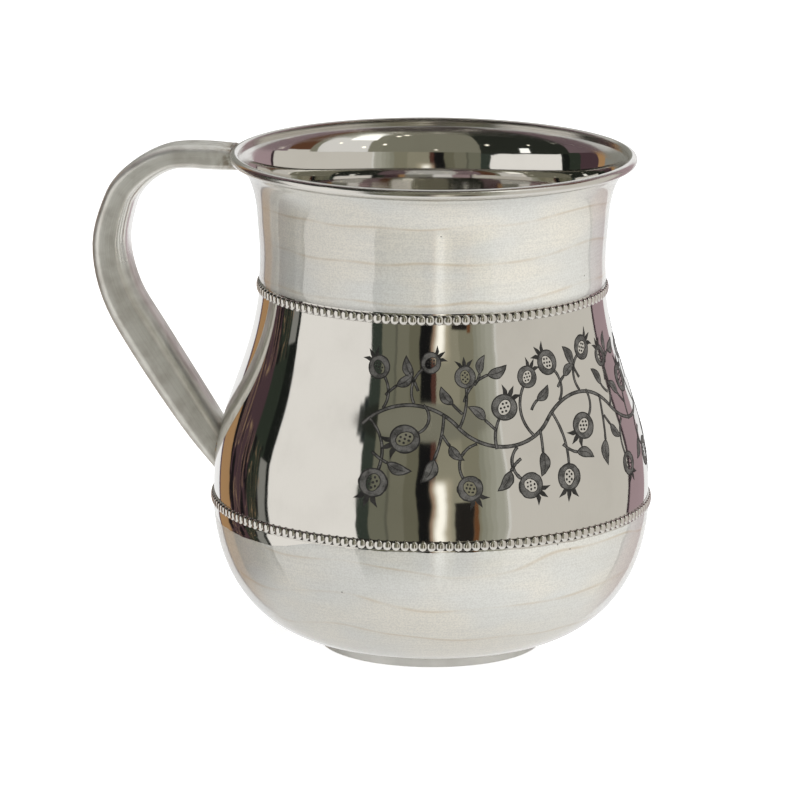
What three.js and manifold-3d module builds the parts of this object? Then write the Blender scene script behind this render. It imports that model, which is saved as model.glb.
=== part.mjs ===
// A hand-washing cup of spun stainless steel. A round-bellied vessel with a rolled lip stands on a
// pressed foot. One beaded ring lies round its waist and one round its widest place, pearl lacquer
// coats the neck above them and the bowl below, and the band between them is polished.
// One tall handle of bent, flattened tube is welded under the lip and low on the polished band.
// Millimetres, +Z up. The origin is on the cup's axis, at the foot's flat underside, and the handle
// reaches out along -X.
import * as THREE from "three";
import { mergeVertices } from "three/addons/utils/BufferGeometryUtils.js";
import Module from "manifold-3d";

const wasm = await Module();
wasm.setup();

// Driving dimensions

const foot = {
  radius: 29,
  height: 2.85,
  wall: 0.9,
  edgeRadius: 0.4,
};

// The vessel's rises stand on each other: the bowl up to the belly, the band up to the waist, the
// throat up to the neck, and the flare up to the top of the lip. Together with the foot they make
// the cup 130 high.
const vessel = {
  wall: 0.9,
  bowlRise: 39.05,
  bandRise: 61,
  throatRise: 11,
  flareRise: 16,
  bellyRadius: 56.8,
  waistRadius: 44.6,
  neckRadius: 45.3,
  lipRadius: 52.75,
  lipRollRadius: 1.25,
};

const coat = {
  thickness: 0.25,
  ringClearance: 0.2,
  footClearance: 0.6,
  lipClearance: 0.6,
};

const beads = {
  pitch: 2.26,
  rise: 0.8,
  stripThickness: 0.2,
  stripHeight: 2.7,
  waistDrop: 7.8,
  bellyDrop: 2.7,
};

const handle = {
  lipDrop: 3,
  bellyRise: 7,
  reach: 31.5,
  thickness: 11,
  width: 13.4,
  wall: 1,
  weldRadius: 1.2,
};

// Layers that lie on the steel stay this far off it, and what is cut to fit stays this far away.
const seatGap = 0.1;
const cutGap = 0.3;

// How far a cutting solid runs past what it cuts.
const overrun = 10;

// How finely the curved faces are divided.
const turnSteps = 48;
const bowlSteps = 8;
const bandSteps = 8;
const flareSteps = 6;
const rollSteps = 6;
const edgeSteps = 3;
const stationSteps = 2;
const sectionSteps = 14;
const weldSteps = 28;
const weldSides = 6;
const stepsPerBead = 2;

// Shapes as shares

// How far each curve holds the direction of its ends, as shares of its own width or height.
const bowlFloorShare = 0.14;
const bowlSideShare = 0.88;
const bandLowerShare = 0.4;
const bandUpperShare = 0.475;
const flareNeckShare = 0.55;
const flareLipShare = 0.5;

// The rolled lip's round runs from where the flare meets it, over the top, to the inside of the
// mouth. Both ends are shares of a half turn.
const rollShares = [-0.5, 0.8];

// How much of the beads' rise is left in the valleys between them.
const valleyShare = 0.2;

// The handle's stations, from inside the lip to inside the band. Each has its share of the reach,
// of the drop, of the tube's greatest thickness and of its greatest width.
const stationShares = [
  [-0.3, 0.005, 0.46, 0.93],
  [0.133, 0, 0.58, 1],
  [0.371, -0.001, 0.565, 1],
  [0.533, 0.009, 0.58, 0.99],
  [0.695, 0.042, 0.628, 0.97],
  [0.844, 0.095, 0.69, 0.95],
  [0.938, 0.164, 0.735, 0.93],
  [0.998, 0.307, 0.833, 0.91],
  [0.896, 0.469, 0.912, 0.88],
  [0.631, 0.64, 0.985, 0.85],
  [0.191, 0.889, 0.91, 0.84],
  [-0.124, 1.054, 0.706, 0.78],
];

// The exponent of the tube's rounded section: an ellipse has 1, and a smaller one is squarer.
const sectionRoundness = 0.85;

const cupAxis = new THREE.Vector3(0, 0, 1);

// Outlines of the vessel, as points of radius and height

const bottom = new THREE.Vector2(foot.radius, foot.height + seatGap);
const belly = new THREE.Vector2(vessel.bellyRadius, bottom.y + vessel.bowlRise);
const waist = new THREE.Vector2(vessel.waistRadius, belly.y + vessel.bandRise);
const neck = new THREE.Vector2(vessel.neckRadius, waist.y + vessel.throatRise);
const lipTop = neck.y + vessel.flareRise;
const roll = new THREE.Vector2(
  vessel.lipRadius - vessel.lipRollRadius,
  lipTop - vessel.lipRollRadius,
);

// A point on the rolled lip's round, grown by a clearance, at a share of a half turn.
function onRoll(share, clearance = 0) {
  const radius = vessel.lipRollRadius + clearance;
  const angle = share * Math.PI;
  return new THREE.Vector2(
    roll.x + radius * Math.cos(angle),
    roll.y + radius * Math.sin(angle),
  );
}

// A curve between two points that starts and ends in the directions of two arms.
function curved(from, to, startArm, endArm, steps) {
  return new THREE.CubicBezierCurve(
    from,
    from.clone().add(startArm),
    to.clone().sub(endArm),
    to,
  ).getPoints(steps);
}

// The steel's outer surface, from the foot up to the lip's underside.
function steelOutline() {
  const bowl = belly.clone().sub(bottom);
  const band = waist.clone().sub(belly);
  const throat = neck.clone().sub(waist);
  const lip = onRoll(rollShares[0]);
  const flare = lip.clone().sub(neck);
  return [
    ...curved(
      bottom,
      belly,
      new THREE.Vector2(bowl.x * bowlFloorShare, 0),
      new THREE.Vector2(0, bowl.y * bowlSideShare),
      bowlSteps,
    ),
    ...curved(
      belly,
      waist,
      new THREE.Vector2(0, band.y * bandLowerShare),
      new THREE.Vector2(0, band.y * bandUpperShare),
      bandSteps,
    ).slice(1),
    ...curved(
      neck,
      lip,
      throat.setLength(flare.y * flareNeckShare),
      new THREE.Vector2(flare.x * flareLipShare, 0),
      flareSteps,
    ),
  ];
}

// The same line moved sideways, away from the axis where the distance is positive.
function moved(outline, distance) {
  return outline.map((point, i) => {
    const before = outline[Math.max(i - 1, 0)];
    const after = outline[Math.min(i + 1, outline.length - 1)];
    const along = after.clone().sub(before).normalize();
    return new THREE.Vector2(
      point.x + along.y * distance,
      point.y - along.x * distance,
    );
  });
}

// The point where a rising line passes a height.
function atHeight(outline, height) {
  const i = outline.findIndex((point) => point.y >= height);
  const [low, high] = [outline[i - 1], outline[i]];
  return low.clone().lerp(high, (height - low.y) / (high.y - low.y));
}

// How far the steel reaches from the axis at a height, with the rolled lip drawn straight up.
function steelRadius(outline, height) {
  const lip = outline[outline.length - 1];
  return height < lip.y ? atHeight(outline, height).x : vessel.lipRadius;
}

// The stretch of a rising line between two heights.
function stretch(outline, low, high) {
  const inside = outline.filter((point) => point.y > low && point.y < high);
  return [atHeight(outline, low), ...inside, atHeight(outline, high)];
}

// Solids of revolution

// A profile that starts and ends on the axis, or closes on itself, turned about the axis. The
// outside of the piece runs upwards in it.
function turned(profile) {
  return new THREE.LatheGeometry(profile, turnSteps).rotateX(Math.PI / 2);
}

function footPan() {
  const { radius, height, wall, edgeRadius } = foot;
  const arcCentre = new THREE.Vector2(radius - edgeRadius, edgeRadius);
  const edge = Array.from({ length: edgeSteps + 1 }, (_, i) =>
    new THREE.Vector2(0, -edgeRadius)
      .rotateAround(new THREE.Vector2(), (Math.PI / 2) * (i / edgeSteps))
      .add(arcCentre),
  );
  return turned([
    new THREE.Vector2(0, 0),
    ...edge,
    new THREE.Vector2(radius, height),
    new THREE.Vector2(radius - wall, height),
    new THREE.Vector2(radius - wall, wall),
    new THREE.Vector2(0, wall),
  ]);
}

// The rolled lip's round, from under the lip to the inside of the mouth.
function rollOutline(clearance = 0) {
  return Array.from({ length: rollSteps + 1 }, (_, i) =>
    onRoll(THREE.MathUtils.lerp(...rollShares, i / rollSteps), clearance),
  );
}

function vesselShell(outline) {
  const inside = moved(outline.slice(0, -1), -vessel.wall).reverse();
  return turned([
    new THREE.Vector2(0, bottom.y),
    ...outline,
    ...rollOutline().slice(1),
    ...inside,
    new THREE.Vector2(0, inside[inside.length - 1].y),
  ]);
}

// The vessel's outer form without its hollow, grown by a clearance, with the lip's round drawn
// straight up to clear whatever stands over the rim.
function vesselForm(outline, clearance) {
  const rim = vessel.lipRadius + clearance;
  const top = lipTop + overrun;
  const flank = rollOutline(clearance).filter((point) => point.y < roll.y);
  return solidOf(
    turned([
      new THREE.Vector2(0, 0),
      ...moved(outline.slice(0, -1), clearance),
      ...flank,
      new THREE.Vector2(rim, roll.y),
      new THREE.Vector2(rim, top),
      new THREE.Vector2(0, top),
    ]),
  );
}

// A coat of lacquer over a stretch of the steel, which stops short of the handle and its weld.
function lacquerCoat(outline, stations, low, high) {
  const steel = stretch(outline, low, high);
  const outside = moved(steel, seatGap + coat.thickness);
  const inside = moved(steel, seatGap).reverse();
  return meshOf(
    solidOf(turned([...outside, ...inside, outside[0].clone()])).subtract(
      tubeBar(stations, handle.weldRadius + cutGap),
    ),
  );
}

// Skins over rings of points

// Joins each ring of points to the next, and closes the first and last ring where they have ends.
function skinned(rings, ends) {
  const count = rings[0].length;
  const corners = [];
  rings.slice(1).forEach((ring, r) => {
    const last = rings[r];
    ring.forEach((point, i) => {
      const next = (i + 1) % count;
      corners.push(last[i], point, last[next], last[next], point, ring[next]);
    });
  });
  if (ends) {
    const [first, final] = [rings[0], rings[rings.length - 1]];
    for (let i = 1; i + 1 < count; i += 1) {
      corners.push(first[0], first[i], first[i + 1]);
      corners.push(final[0], final[i + 1], final[i]);
    }
  }
  return new THREE.BufferGeometry().setFromPoints(corners);
}

// Beaded rings

// A flat strip round the steel with a row of beads along its middle. The count of beads follows
// from the pitch.
function beadRing(outline, height) {
  const half = beads.stripHeight / 2;
  const [low, middle, high] = [height - half, height, height + half].map((z) =>
    atHeight(outline, z),
  );
  const front = seatGap + beads.stripThickness;
  const crest = middle.x + front + beads.rise;
  const valley = middle.x + front + beads.rise * valleyShare;
  const count = Math.round((2 * Math.PI * middle.x) / beads.pitch) * stepsPerBead;
  const rings = Array.from({ length: count }, (_, i) => {
    const turn = (2 * Math.PI * i) / count;
    const section = [
      [low.x + seatGap, low.y],
      [low.x + front, low.y],
      [i % stepsPerBead ? valley : crest, middle.y],
      [high.x + front, high.y],
      [high.x + seatGap, high.y],
    ];
    return section.map(([radius, z]) =>
      new THREE.Vector3(radius, 0, z).applyAxisAngle(cupAxis, turn),
    );
  });
  return skinned([...rings, rings[0]], false);
}

// Handle

// The tube's middle line in the plane of the cup's axis, and its thickness and width along it.
function handleStations(outline) {
  const [upper, lower] = [lipTop - handle.lipDrop, belly.y + handle.bellyRise];
  const bandSeat = steelRadius(outline, lower);
  const middles = [];
  const sizes = [];
  stationShares.forEach(([out, down, thick, wide]) => {
    const root = THREE.MathUtils.lerp(vessel.lipRadius, bandSeat, down);
    const z = THREE.MathUtils.lerp(upper, lower, down);
    middles.push(new THREE.Vector3(-root - out * handle.reach, 0, z));
    sizes.push(
      new THREE.Vector3(handle.thickness * thick, handle.width * wide, 0),
    );
  });
  const path = new THREE.CatmullRomCurve3(middles, false, "catmullrom");
  const size = new THREE.CatmullRomCurve3(sizes, false, "catmullrom");
  const count = (stationShares.length - 1) * stationSteps;
  return Array.from({ length: count + 1 }, (_, i) => ({
    middle: path.getPoint(i / count),
    along: path.getTangent(i / count),
    size: size.getPoint(i / count),
  }));
}

// One ring of points round the tube, moved outwards by a distance all round.
function tubeRing({ middle, along, size }, distance) {
  const across = new THREE.Vector3(0, 1, 0);
  const outward = across.clone().cross(along);
  return Array.from({ length: sectionSteps }, (_, i) => {
    const angle = (-2 * Math.PI * i) / sectionSteps;
    const [c, s] = [Math.cos(angle), Math.sin(angle)];
    const thick = Math.sign(c) * Math.abs(c) ** sectionRoundness;
    const wide = Math.sign(s) * Math.abs(s) ** sectionRoundness;
    return middle
      .clone()
      .addScaledVector(outward, thick * (size.x / 2 + distance))
      .addScaledVector(across, wide * (size.y / 2 + distance));
  });
}

// The tube as a solid bar, moved outwards by a distance, and with its ends drawn out on request.
function tubeBar(stations, distance, drawnOut = 0) {
  const rings = stations.map((station) => tubeRing(station, distance));
  if (drawnOut) {
    const [first, final] = [stations[0], stations[stations.length - 1]];
    const shifted = (station, shift) => ({
      ...station,
      middle: station.middle.clone().addScaledVector(station.along, shift),
    });
    rings.unshift(tubeRing(shifted(first, -drawnOut), distance));
    rings.push(tubeRing(shifted(final, drawnOut), distance));
  }
  return solidOf(skinned(rings, true));
}

// The hollow tube, cut to the vessel's outer form at both ends.
function handleTube(outline, stations) {
  return meshOf(
    tubeBar(stations, 0)
      .subtract(tubeBar(stations, -handle.wall, overrun))
      .subtract(vesselForm(outline, cutGap)),
  );
}

// A fillet weld in the corner between the tube and the vessel, at the first or the last station.
function handleWeld(outline, stations, atFirst) {
  const ordered = atFirst ? stations : [...stations].reverse();
  const rings = ordered.map((station) => tubeRing(station, 0));
  const depth = (point) =>
    steelRadius(outline, point.z) - Math.hypot(point.x, point.y);
  const corner = rings[0].map((_, i) => {
    const r = rings.findIndex((ring) => depth(ring[i]) < 0);
    const [inner, outer] = [rings[r - 1][i], rings[r][i]];
    const share = depth(inner) / (depth(inner) - depth(outer));
    return inner.clone().lerp(outer, share);
  });
  const curve = new THREE.CatmullRomCurve3(corner, true, "catmullrom");
  const { normals, binormals } = curve.computeFrenetFrames(weldSteps, true);
  const sweep = Array.from({ length: weldSteps }, (_, i) =>
    Array.from({ length: weldSides }, (_unused, side) => {
      const angle = (-2 * Math.PI * side) / weldSides;
      return curve
        .getPointAt(i / weldSteps)
        .addScaledVector(normals[i], handle.weldRadius * Math.cos(angle))
        .addScaledVector(binormals[i], handle.weldRadius * Math.sin(angle));
    }),
  );
  return meshOf(
    solidOf(skinned([...sweep, sweep[0]], false))
      .subtract(vesselForm(outline, seatGap))
      .subtract(tubeBar(stations, seatGap)),
  );
}

// Joins and cuts

// A closed geometry as a solid that can be joined and cut.
function solidOf(geometry) {
  const bare = geometry.clone().deleteAttribute("normal").deleteAttribute("uv");
  const merged = mergeVertices(bare);
  return new wasm.Manifold(
    new wasm.Mesh({
      numProp: 3,
      vertProperties: merged.attributes.position.array,
      triVerts: new Uint32Array(merged.index.array),
    }),
  );
}

// A solid as a geometry with flat faces.
function meshOf(solid) {
  const { vertProperties, triVerts } = solid.getMesh();
  const geometry = new THREE.BufferGeometry();
  geometry.setAttribute("position", new THREE.BufferAttribute(vertProperties, 3));
  geometry.setIndex(new THREE.BufferAttribute(triVerts, 1));
  const flat = geometry.toNonIndexed();
  flat.computeVertexNormals();
  return flat;
}

// Finishes

const finish = (color, roughness, metalness) =>
  new THREE.MeshStandardMaterial({ color, roughness, metalness });

const polishedSteel = () => finish(0xd9d8d4, 0.08, 1);
const brushedSteel = () => finish(0xa9aaa4, 0.38, 1);
const pearlLacquer = () => finish(0xdedcd2, 0.3, 0.35);
const weldedSteel = () => finish(0x8e8d86, 0.5, 1);

// Assembly

const outline = steelOutline();
const stations = handleStations(outline);
const upperRingHeight = waist.y - beads.waistDrop;
const lowerRingHeight = belly.y - beads.bellyDrop;
const ringHalf = beads.stripHeight / 2 + coat.ringClearance;

const cup = new THREE.Group();

function add(name, geometry, material) {
  const mesh = new THREE.Mesh(geometry, material);
  mesh.name = name;
  cup.add(mesh);
}

add("foot", footPan(), brushedSteel());
add("cup_shell", vesselShell(outline), polishedSteel());
add("upper_bead_ring", beadRing(outline, upperRingHeight), polishedSteel());
add("lower_bead_ring", beadRing(outline, lowerRingHeight), polishedSteel());
add(
  "neck_lacquer",
  lacquerCoat(
    outline,
    stations,
    upperRingHeight + ringHalf,
    roll.y - vessel.lipRollRadius - coat.lipClearance,
  ),
  pearlLacquer(),
);
add(
  "bowl_lacquer",
  lacquerCoat(
    outline,
    stations,
    bottom.y + coat.footClearance,
    lowerRingHeight - ringHalf,
  ),
  pearlLacquer(),
);
add("handle_tube", handleTube(outline, stations), brushedSteel());
add("upper_handle_weld", handleWeld(outline, stations, true), weldedSteel());
add("lower_handle_weld", handleWeld(outline, stations, false), weldedSteel());

export default cup;
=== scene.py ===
"""The looks of a steel hand-washing cup with pearl lacquer, beaded rings and an etched branch.

Everything is in metres, +Z up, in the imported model's own frame. The cup's axis is Z and the handle
reaches out along -X. The camera looks along +Y, turned 10 degrees, and a little down.
"""
import logging
import math
import random
from collections.abc import Callable, Iterator, Sequence
from contextlib import contextmanager
from dataclasses import dataclass, field
from enum import Enum

import bmesh
import bpy
from mathutils import Matrix, Vector
from mathutils.geometry import interpolate_bezier


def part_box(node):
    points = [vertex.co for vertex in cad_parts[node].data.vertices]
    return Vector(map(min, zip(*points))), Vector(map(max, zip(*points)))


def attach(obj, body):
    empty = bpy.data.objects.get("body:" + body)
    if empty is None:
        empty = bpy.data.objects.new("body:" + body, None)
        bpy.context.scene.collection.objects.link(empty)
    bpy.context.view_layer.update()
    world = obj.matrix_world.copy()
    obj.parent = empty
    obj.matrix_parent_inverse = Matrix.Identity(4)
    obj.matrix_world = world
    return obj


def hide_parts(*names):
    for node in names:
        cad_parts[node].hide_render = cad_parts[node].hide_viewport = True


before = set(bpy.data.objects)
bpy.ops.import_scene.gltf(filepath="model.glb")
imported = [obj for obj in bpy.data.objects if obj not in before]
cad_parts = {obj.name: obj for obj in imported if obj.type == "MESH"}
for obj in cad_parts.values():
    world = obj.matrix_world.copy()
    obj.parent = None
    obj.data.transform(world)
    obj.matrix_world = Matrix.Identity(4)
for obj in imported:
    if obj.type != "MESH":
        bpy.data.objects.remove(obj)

MM = 0.001
ROOT = "root"
MERGE_DISTANCE = 0.001 * MM
TURN_STEPS = 192
STRAIGHT = "straight"

log = logging.getLogger("washing_cup")

Piece = bpy.types.Object
Socket = bpy.types.NodeSocket
Colour = tuple[float, float, float]
Spot = tuple[float, float, float]
Span = tuple[float, float]
Feed = object
Settings = dict[str, Feed]
Feeds = dict[int | str, Feed]

BARE_STEEL: Colour = (0.77, 0.755, 0.725)


class Part(Enum):
    """What is selected in edit mode: Blender's word for it, and the mesh's list of it."""

    VERTEX = ("VERT", "verts")
    EDGE = ("EDGE", "edges")
    FACE = ("FACE", "faces")


def hold(*objects: Piece) -> None:
    """Selects some objects and nothing else.

    Args:
        objects: what is selected. The first of them becomes the active one.
    """
    bpy.ops.object.select_all(action="DESELECT")
    for obj in objects:
        obj.select_set(True)
    bpy.context.view_layer.objects.active = objects[0]


@contextmanager
def editing(obj: Piece, part: Part = Part.VERTEX) -> Iterator[None]:
    """Opens a mesh in edit mode with all of it selected, and closes it again.

    Args:
        obj: the mesh to edit.
        part: what is selected there.

    Yields:
        Nothing, while the mesh is in edit mode.
    """
    hold(obj)
    bpy.ops.object.mode_set(mode="EDIT")
    bpy.ops.mesh.select_mode(type=part.value[0])
    bpy.ops.mesh.select_all(action="SELECT")
    yield
    bpy.ops.object.mode_set(mode="OBJECT")


def pick(obj: Piece, part: Part, wanted: Callable[[Vector], bool]) -> None:
    """Selects the vertices, edges or faces of a mesh in edit mode by their place.

    Args:
        obj: the mesh in edit mode.
        part: what is selected.
        wanted: says whether the element whose middle is here is selected.
    """
    bpy.ops.mesh.select_all(action="DESELECT")
    mesh = bmesh.from_edit_mesh(obj.data)
    for element in getattr(mesh, part.value[1]):
        corners = [element] if part is Part.VERTEX else element.verts
        middle = sum((v.co for v in corners), Vector()) / len(corners)
        if wanted(middle):
            element.select_set(True)
    mesh.select_flush_mode()
    bmesh.update_edit_mesh(obj.data)


def face_outwards() -> None:
    """Turns all faces of the mesh in edit mode outwards."""
    bpy.ops.mesh.select_all(action="SELECT")
    bpy.ops.mesh.normals_make_consistent(inside=False)


def named(name: str) -> Piece:
    """Names the object that was just made, and its data.

    Args:
        name: the name for both.

    Returns:
        The object.
    """
    obj = bpy.context.object
    obj.name = name
    obj.data.name = name
    return obj


def added(name: str, operator: Callable[..., object], **settings: object) -> Piece:
    """Adds a primitive with nothing else selected.

    Args:
        name: its name.
        operator: the operator that adds it.
        settings: the operator's settings.

    Returns:
        The new object.
    """
    bpy.ops.object.select_all(action="DESELECT")
    operator(**settings)
    return named(name)


def settle(*objects: Piece) -> None:
    """Works the objects' places, turns and scales into their meshes."""
    hold(*objects)
    bpy.ops.object.transform_apply(location=True, rotation=True, scale=True)


def finished(obj: Piece, kind: str, **settings: object) -> None:
    """Adds a modifier and applies it.

    Args:
        obj: the mesh.
        kind: the modifier's type.
        settings: its settings, by name.
    """
    hold(obj)
    bpy.ops.object.modifier_add(type=kind)
    modifier = obj.modifiers[-1]
    for key, value in settings.items():
        setattr(modifier, key, value)
    bpy.ops.object.modifier_apply(modifier=modifier.name)


def smoothed(obj: Piece, degrees: float = 40) -> None:
    """Shades a mesh smooth except over edges sharper than the angle."""
    hold(obj)
    bpy.ops.object.shade_smooth_by_angle(angle=math.radians(degrees))


def copied(obj: Piece, place: Matrix) -> Piece:
    """Copies an object together with its mesh.

    Args:
        obj: what is copied.
        place: the copy's place, turn and size.

    Returns:
        The copy.
    """
    twin = obj.copy()
    twin.data = obj.data.copy()
    twin.matrix_world = place
    bpy.context.scene.collection.objects.link(twin)
    return twin


def joined(name: str, objects: Sequence[Piece]) -> Piece:
    """Makes several meshes one, with their places worked in.

    Args:
        name: the one mesh's name.
        objects: the meshes.

    Returns:
        The one mesh.
    """
    settle(*objects)
    bpy.ops.object.join()
    return named(name)


def discard(*objects: Piece) -> None:
    """Removes helper objects."""
    for obj in objects:
        bpy.data.objects.remove(obj, do_unlink=True)


def drawn(name: str, line: Sequence[Vector]) -> Piece:
    """Draws a profile in the plane of the cup's axis, as edges from point to point.

    Args:
        name: the new object's name.
        line: points of radius and height.

    Returns:
        The mesh that holds the profile.
    """
    obj = added(name, bpy.ops.mesh.primitive_plane_add, size=MM)
    with editing(obj):
        bpy.ops.mesh.merge(type="CENTER")
        bpy.ops.transform.translate(value=(line[0].x, 0, line[0].y))
        for here, there in zip(line, line[1:]):
            step = (there.x - here.x, 0, there.y - here.y)
            bpy.ops.mesh.extrude_vertices_move(TRANSFORM_OT_translate={"value": step})
    return obj


def turned(name: str, line: Sequence[Vector]) -> Piece:
    """Spins a profile once round the cup's axis and closes its seam and poles.

    Args:
        name: the new object's name.
        line: points of radius and height, which start and end on the axis or meet again.

    Returns:
        The closed mesh with its faces pointing outwards.
    """
    obj = drawn(name, line)
    with editing(obj):
        bpy.ops.mesh.spin(steps=TURN_STEPS, angle=math.tau, center=(0, 0, 0), axis=(0, 0, 1))
        bpy.ops.mesh.select_all(action="SELECT")
        bpy.ops.mesh.remove_doubles(threshold=MERGE_DISTANCE)
        face_outwards()
    smoothed(obj)
    return obj


def curved(start: Vector, end: Vector, leaving: Vector, arriving: Vector, steps: int) -> list[Vector]:
    """Points of a curve that leaves its start along one arm and reaches its end along the other."""
    return interpolate_bezier(start, start + leaving, end - arriving, end, steps + 1)


def moved(line: Sequence[Vector], distance: float) -> list[Vector]:
    """Moves a rising line sideways.

    Args:
        line: points of radius and height.
        distance: how far, away from the axis where it is positive.

    Returns:
        The moved points.
    """
    last = len(line) - 1
    out = []
    for i, point in enumerate(line):
        along = (line[min(i + 1, last)] - line[max(i - 1, 0)]).normalized()
        out.append(point + Vector((along.y, -along.x)) * distance)
    return out


def at_height(line: Sequence[Vector], height: float) -> Vector:
    """Finds where a rising line passes a height.

    Args:
        line: points of radius and height.
        height: the height.

    Returns:
        The point there.
    """
    i = next(n for n, point in enumerate(line) if point.y >= height)
    low, high = line[i - 1], line[i]
    return low.lerp(high, (height - low.y) / (high.y - low.y))


def stretch(line: Sequence[Vector], low: float, high: float) -> list[Vector]:
    """The part of a rising line between two heights."""
    inside = [point for point in line if low < point.y < high]
    return [at_height(line, low), *inside, at_height(line, high)]


class Value:
    """A shader socket that carries a number, so that sums on it are written as plain expressions."""

    def __init__(self, tree: "Shader", socket: Socket) -> None:
        """Wraps a socket of a shader's tree."""
        self.tree = tree
        self.socket = socket

    def __add__(self, other: Feed) -> "Value":
        """This plus another."""
        return self.tree.maths("ADD", self, other)

    def __radd__(self, other: Feed) -> "Value":
        """Another plus this."""
        return self.tree.maths("ADD", other, self)

    def __sub__(self, other: Feed) -> "Value":
        """This less another."""
        return self.tree.maths("SUBTRACT", self, other)

    def __rsub__(self, other: Feed) -> "Value":
        """Another less this."""
        return self.tree.maths("SUBTRACT", other, self)

    def __mul__(self, other: Feed) -> "Value":
        """This times another."""
        return self.tree.maths("MULTIPLY", self, other)

    def __rmul__(self, other: Feed) -> "Value":
        """Another times this."""
        return self.tree.maths("MULTIPLY", other, self)

    def __truediv__(self, other: Feed) -> "Value":
        """This over another."""
        return self.tree.maths("DIVIDE", self, other)

    def __abs__(self) -> "Value":
        """This without its sign."""
        return self.tree.maths("ABSOLUTE", self)


class Shader:
    """A material's or a world's node tree, and the one way that nodes are added to it."""

    def __init__(self, holder: bpy.types.Material | bpy.types.World) -> None:
        """Takes over a tree and clears it.

        Args:
            holder: the material or world that the tree belongs to.
        """
        holder.use_nodes = True
        self.holder = holder
        self.tree = holder.node_tree
        self.tree.nodes.clear()

    def node(self, kind: str, settings: Settings, feeds: Feeds) -> bpy.types.Node:
        """Adds a node.

        Args:
            kind: the node's type.
            settings: its own settings, set first. stops are a ramp's places and colours.
            feeds: what goes into its sockets, by name or number: values, sockets or constants.

        Returns:
            The new node.
        """
        made = self.tree.nodes.new(kind)
        for key, setting in settings.items():
            if key == "stops":
                self._set_stops(made.color_ramp, setting)
            else:
                setattr(made, key, setting)
        for key, feed in feeds.items():
            socket = made.inputs[key]
            source = feed.socket if isinstance(feed, Value) else feed
            if isinstance(source, Socket):
                self.tree.links.new(source, socket)
            elif socket.type == "RGBA":
                socket.default_value = (*source, 1)
            else:
                socket.default_value = source
        return made

    @staticmethod
    def _set_stops(ramp: bpy.types.ColorRamp, stops: Sequence[tuple[float, Colour]]) -> None:
        """Gives a ramp its stops, each of which keeps its colour up to the next.

        Args:
            ramp: the ramp.
            stops: each stop's place and colour.
        """
        ramp.interpolation = "CONSTANT"
        while len(ramp.elements) < len(stops):
            ramp.elements.new(1)
        for element, (place, colour) in zip(ramp.elements, stops):
            element.position = place
            element.color = (*colour, 1)

    def value(self, kind: str, settings: Settings, feeds: Feeds, out: int | str = 0) -> Value:
        """Adds a node and wraps one of its outputs as a number."""
        return Value(self, self.node(kind, settings, feeds).outputs[out])

    def maths(self, operation: str, *feeds: Feed) -> Value:
        """A Math node's result."""
        return self.value("ShaderNodeMath", {"operation": operation}, dict(enumerate(feeds)))

    def place(self) -> Socket:
        """The surface's own place on the object."""
        return self.node("ShaderNodeTexCoord", {}, {}).outputs["Object"]

    def kept(self, attribute: str) -> Socket:
        """A place that the mesh holds as an attribute."""
        return self.node("ShaderNodeAttribute", {"attribute_name": attribute}, {}).outputs["Vector"]

    def axes(self, place: Socket) -> tuple[Value, Value, Value]:
        """The three numbers of a place."""
        split = self.node("ShaderNodeSeparateXYZ", {}, {0: place})
        return tuple(Value(self, out) for out in split.outputs)

    def radius(self, place: Socket) -> Value:
        """How far a place is from the cup's axis."""
        flat = self.node("ShaderNodeVectorMath", {"operation": "MULTIPLY"}, {0: place, 1: (1, 1, 0)})
        return self.value("ShaderNodeVectorMath", {"operation": "LENGTH"}, {0: flat.outputs[0]}, "Value")

    def noise(self, place: Socket, spot: float | Sequence[float], layers: float = 2) -> Value:
        """Smooth noise from 0 to 1.

        Args:
            place: where the noise is read.
            spot: how large its spots are, the same all ways or along X, Y and Z.
            layers: how many finer layers it has.

        Returns:
            The noise.
        """
        sizes = (spot,) * 3 if isinstance(spot, float) else spot
        scale = [1 / size for size in sizes]
        scaled = self.node("ShaderNodeVectorMath", {"operation": "MULTIPLY"}, {0: place, 1: scale})
        feeds = {"Vector": scaled.outputs[0], "Scale": 1, "Detail": layers}
        return self.value("ShaderNodeTexNoise", {}, feeds)

    def cells(self, place: Socket, size: float) -> Value:
        """How far a place is from the nearest of some scattered points."""
        feeds = {"Vector": place, "Scale": 1 / size}
        return self.value("ShaderNodeTexVoronoi", {}, feeds, "Distance")

    def rise(self, value: Feed, low: float, high: float) -> Value:
        """Goes smoothly from 0 to 1 while the value goes from low to high."""
        feeds = {"Value": value, "From Min": low, "From Max": high}
        return self.value("ShaderNodeMapRange", {"interpolation_type": "SMOOTHSTEP"}, feeds)

    def fall(self, value: Feed, low: float, high: float) -> Value:
        """Goes smoothly from 1 to 0 while the value goes from low to high."""
        return 1 - self.rise(value, low, high)

    def mix(self, share: Feed, none: Feed, full: Feed) -> Socket:
        """One colour going over into another as the share goes from 0 to 1."""
        return self.node("ShaderNodeMix", {"data_type": "RGBA"}, {0: share, 6: none, 7: full}).outputs[2]

    def bump(self, height: Value, depth: float) -> Socket:
        """A normal that follows a height from 0 to 1, which is as deep as given."""
        feeds = {"Strength": 1, "Distance": depth, "Height": height}
        return self.node("ShaderNodeBump", {}, feeds).outputs[0]

    def surface(self, feeds: Feeds) -> bpy.types.Material:
        """Ends a material in a Principled shader.

        Args:
            feeds: what goes into the shader.

        Returns:
            The finished material.
        """
        shader = self.node("ShaderNodeBsdfPrincipled", {}, feeds).outputs[0]
        self.node("ShaderNodeOutputMaterial", {}, {"Surface": shader})
        return self.holder


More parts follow.
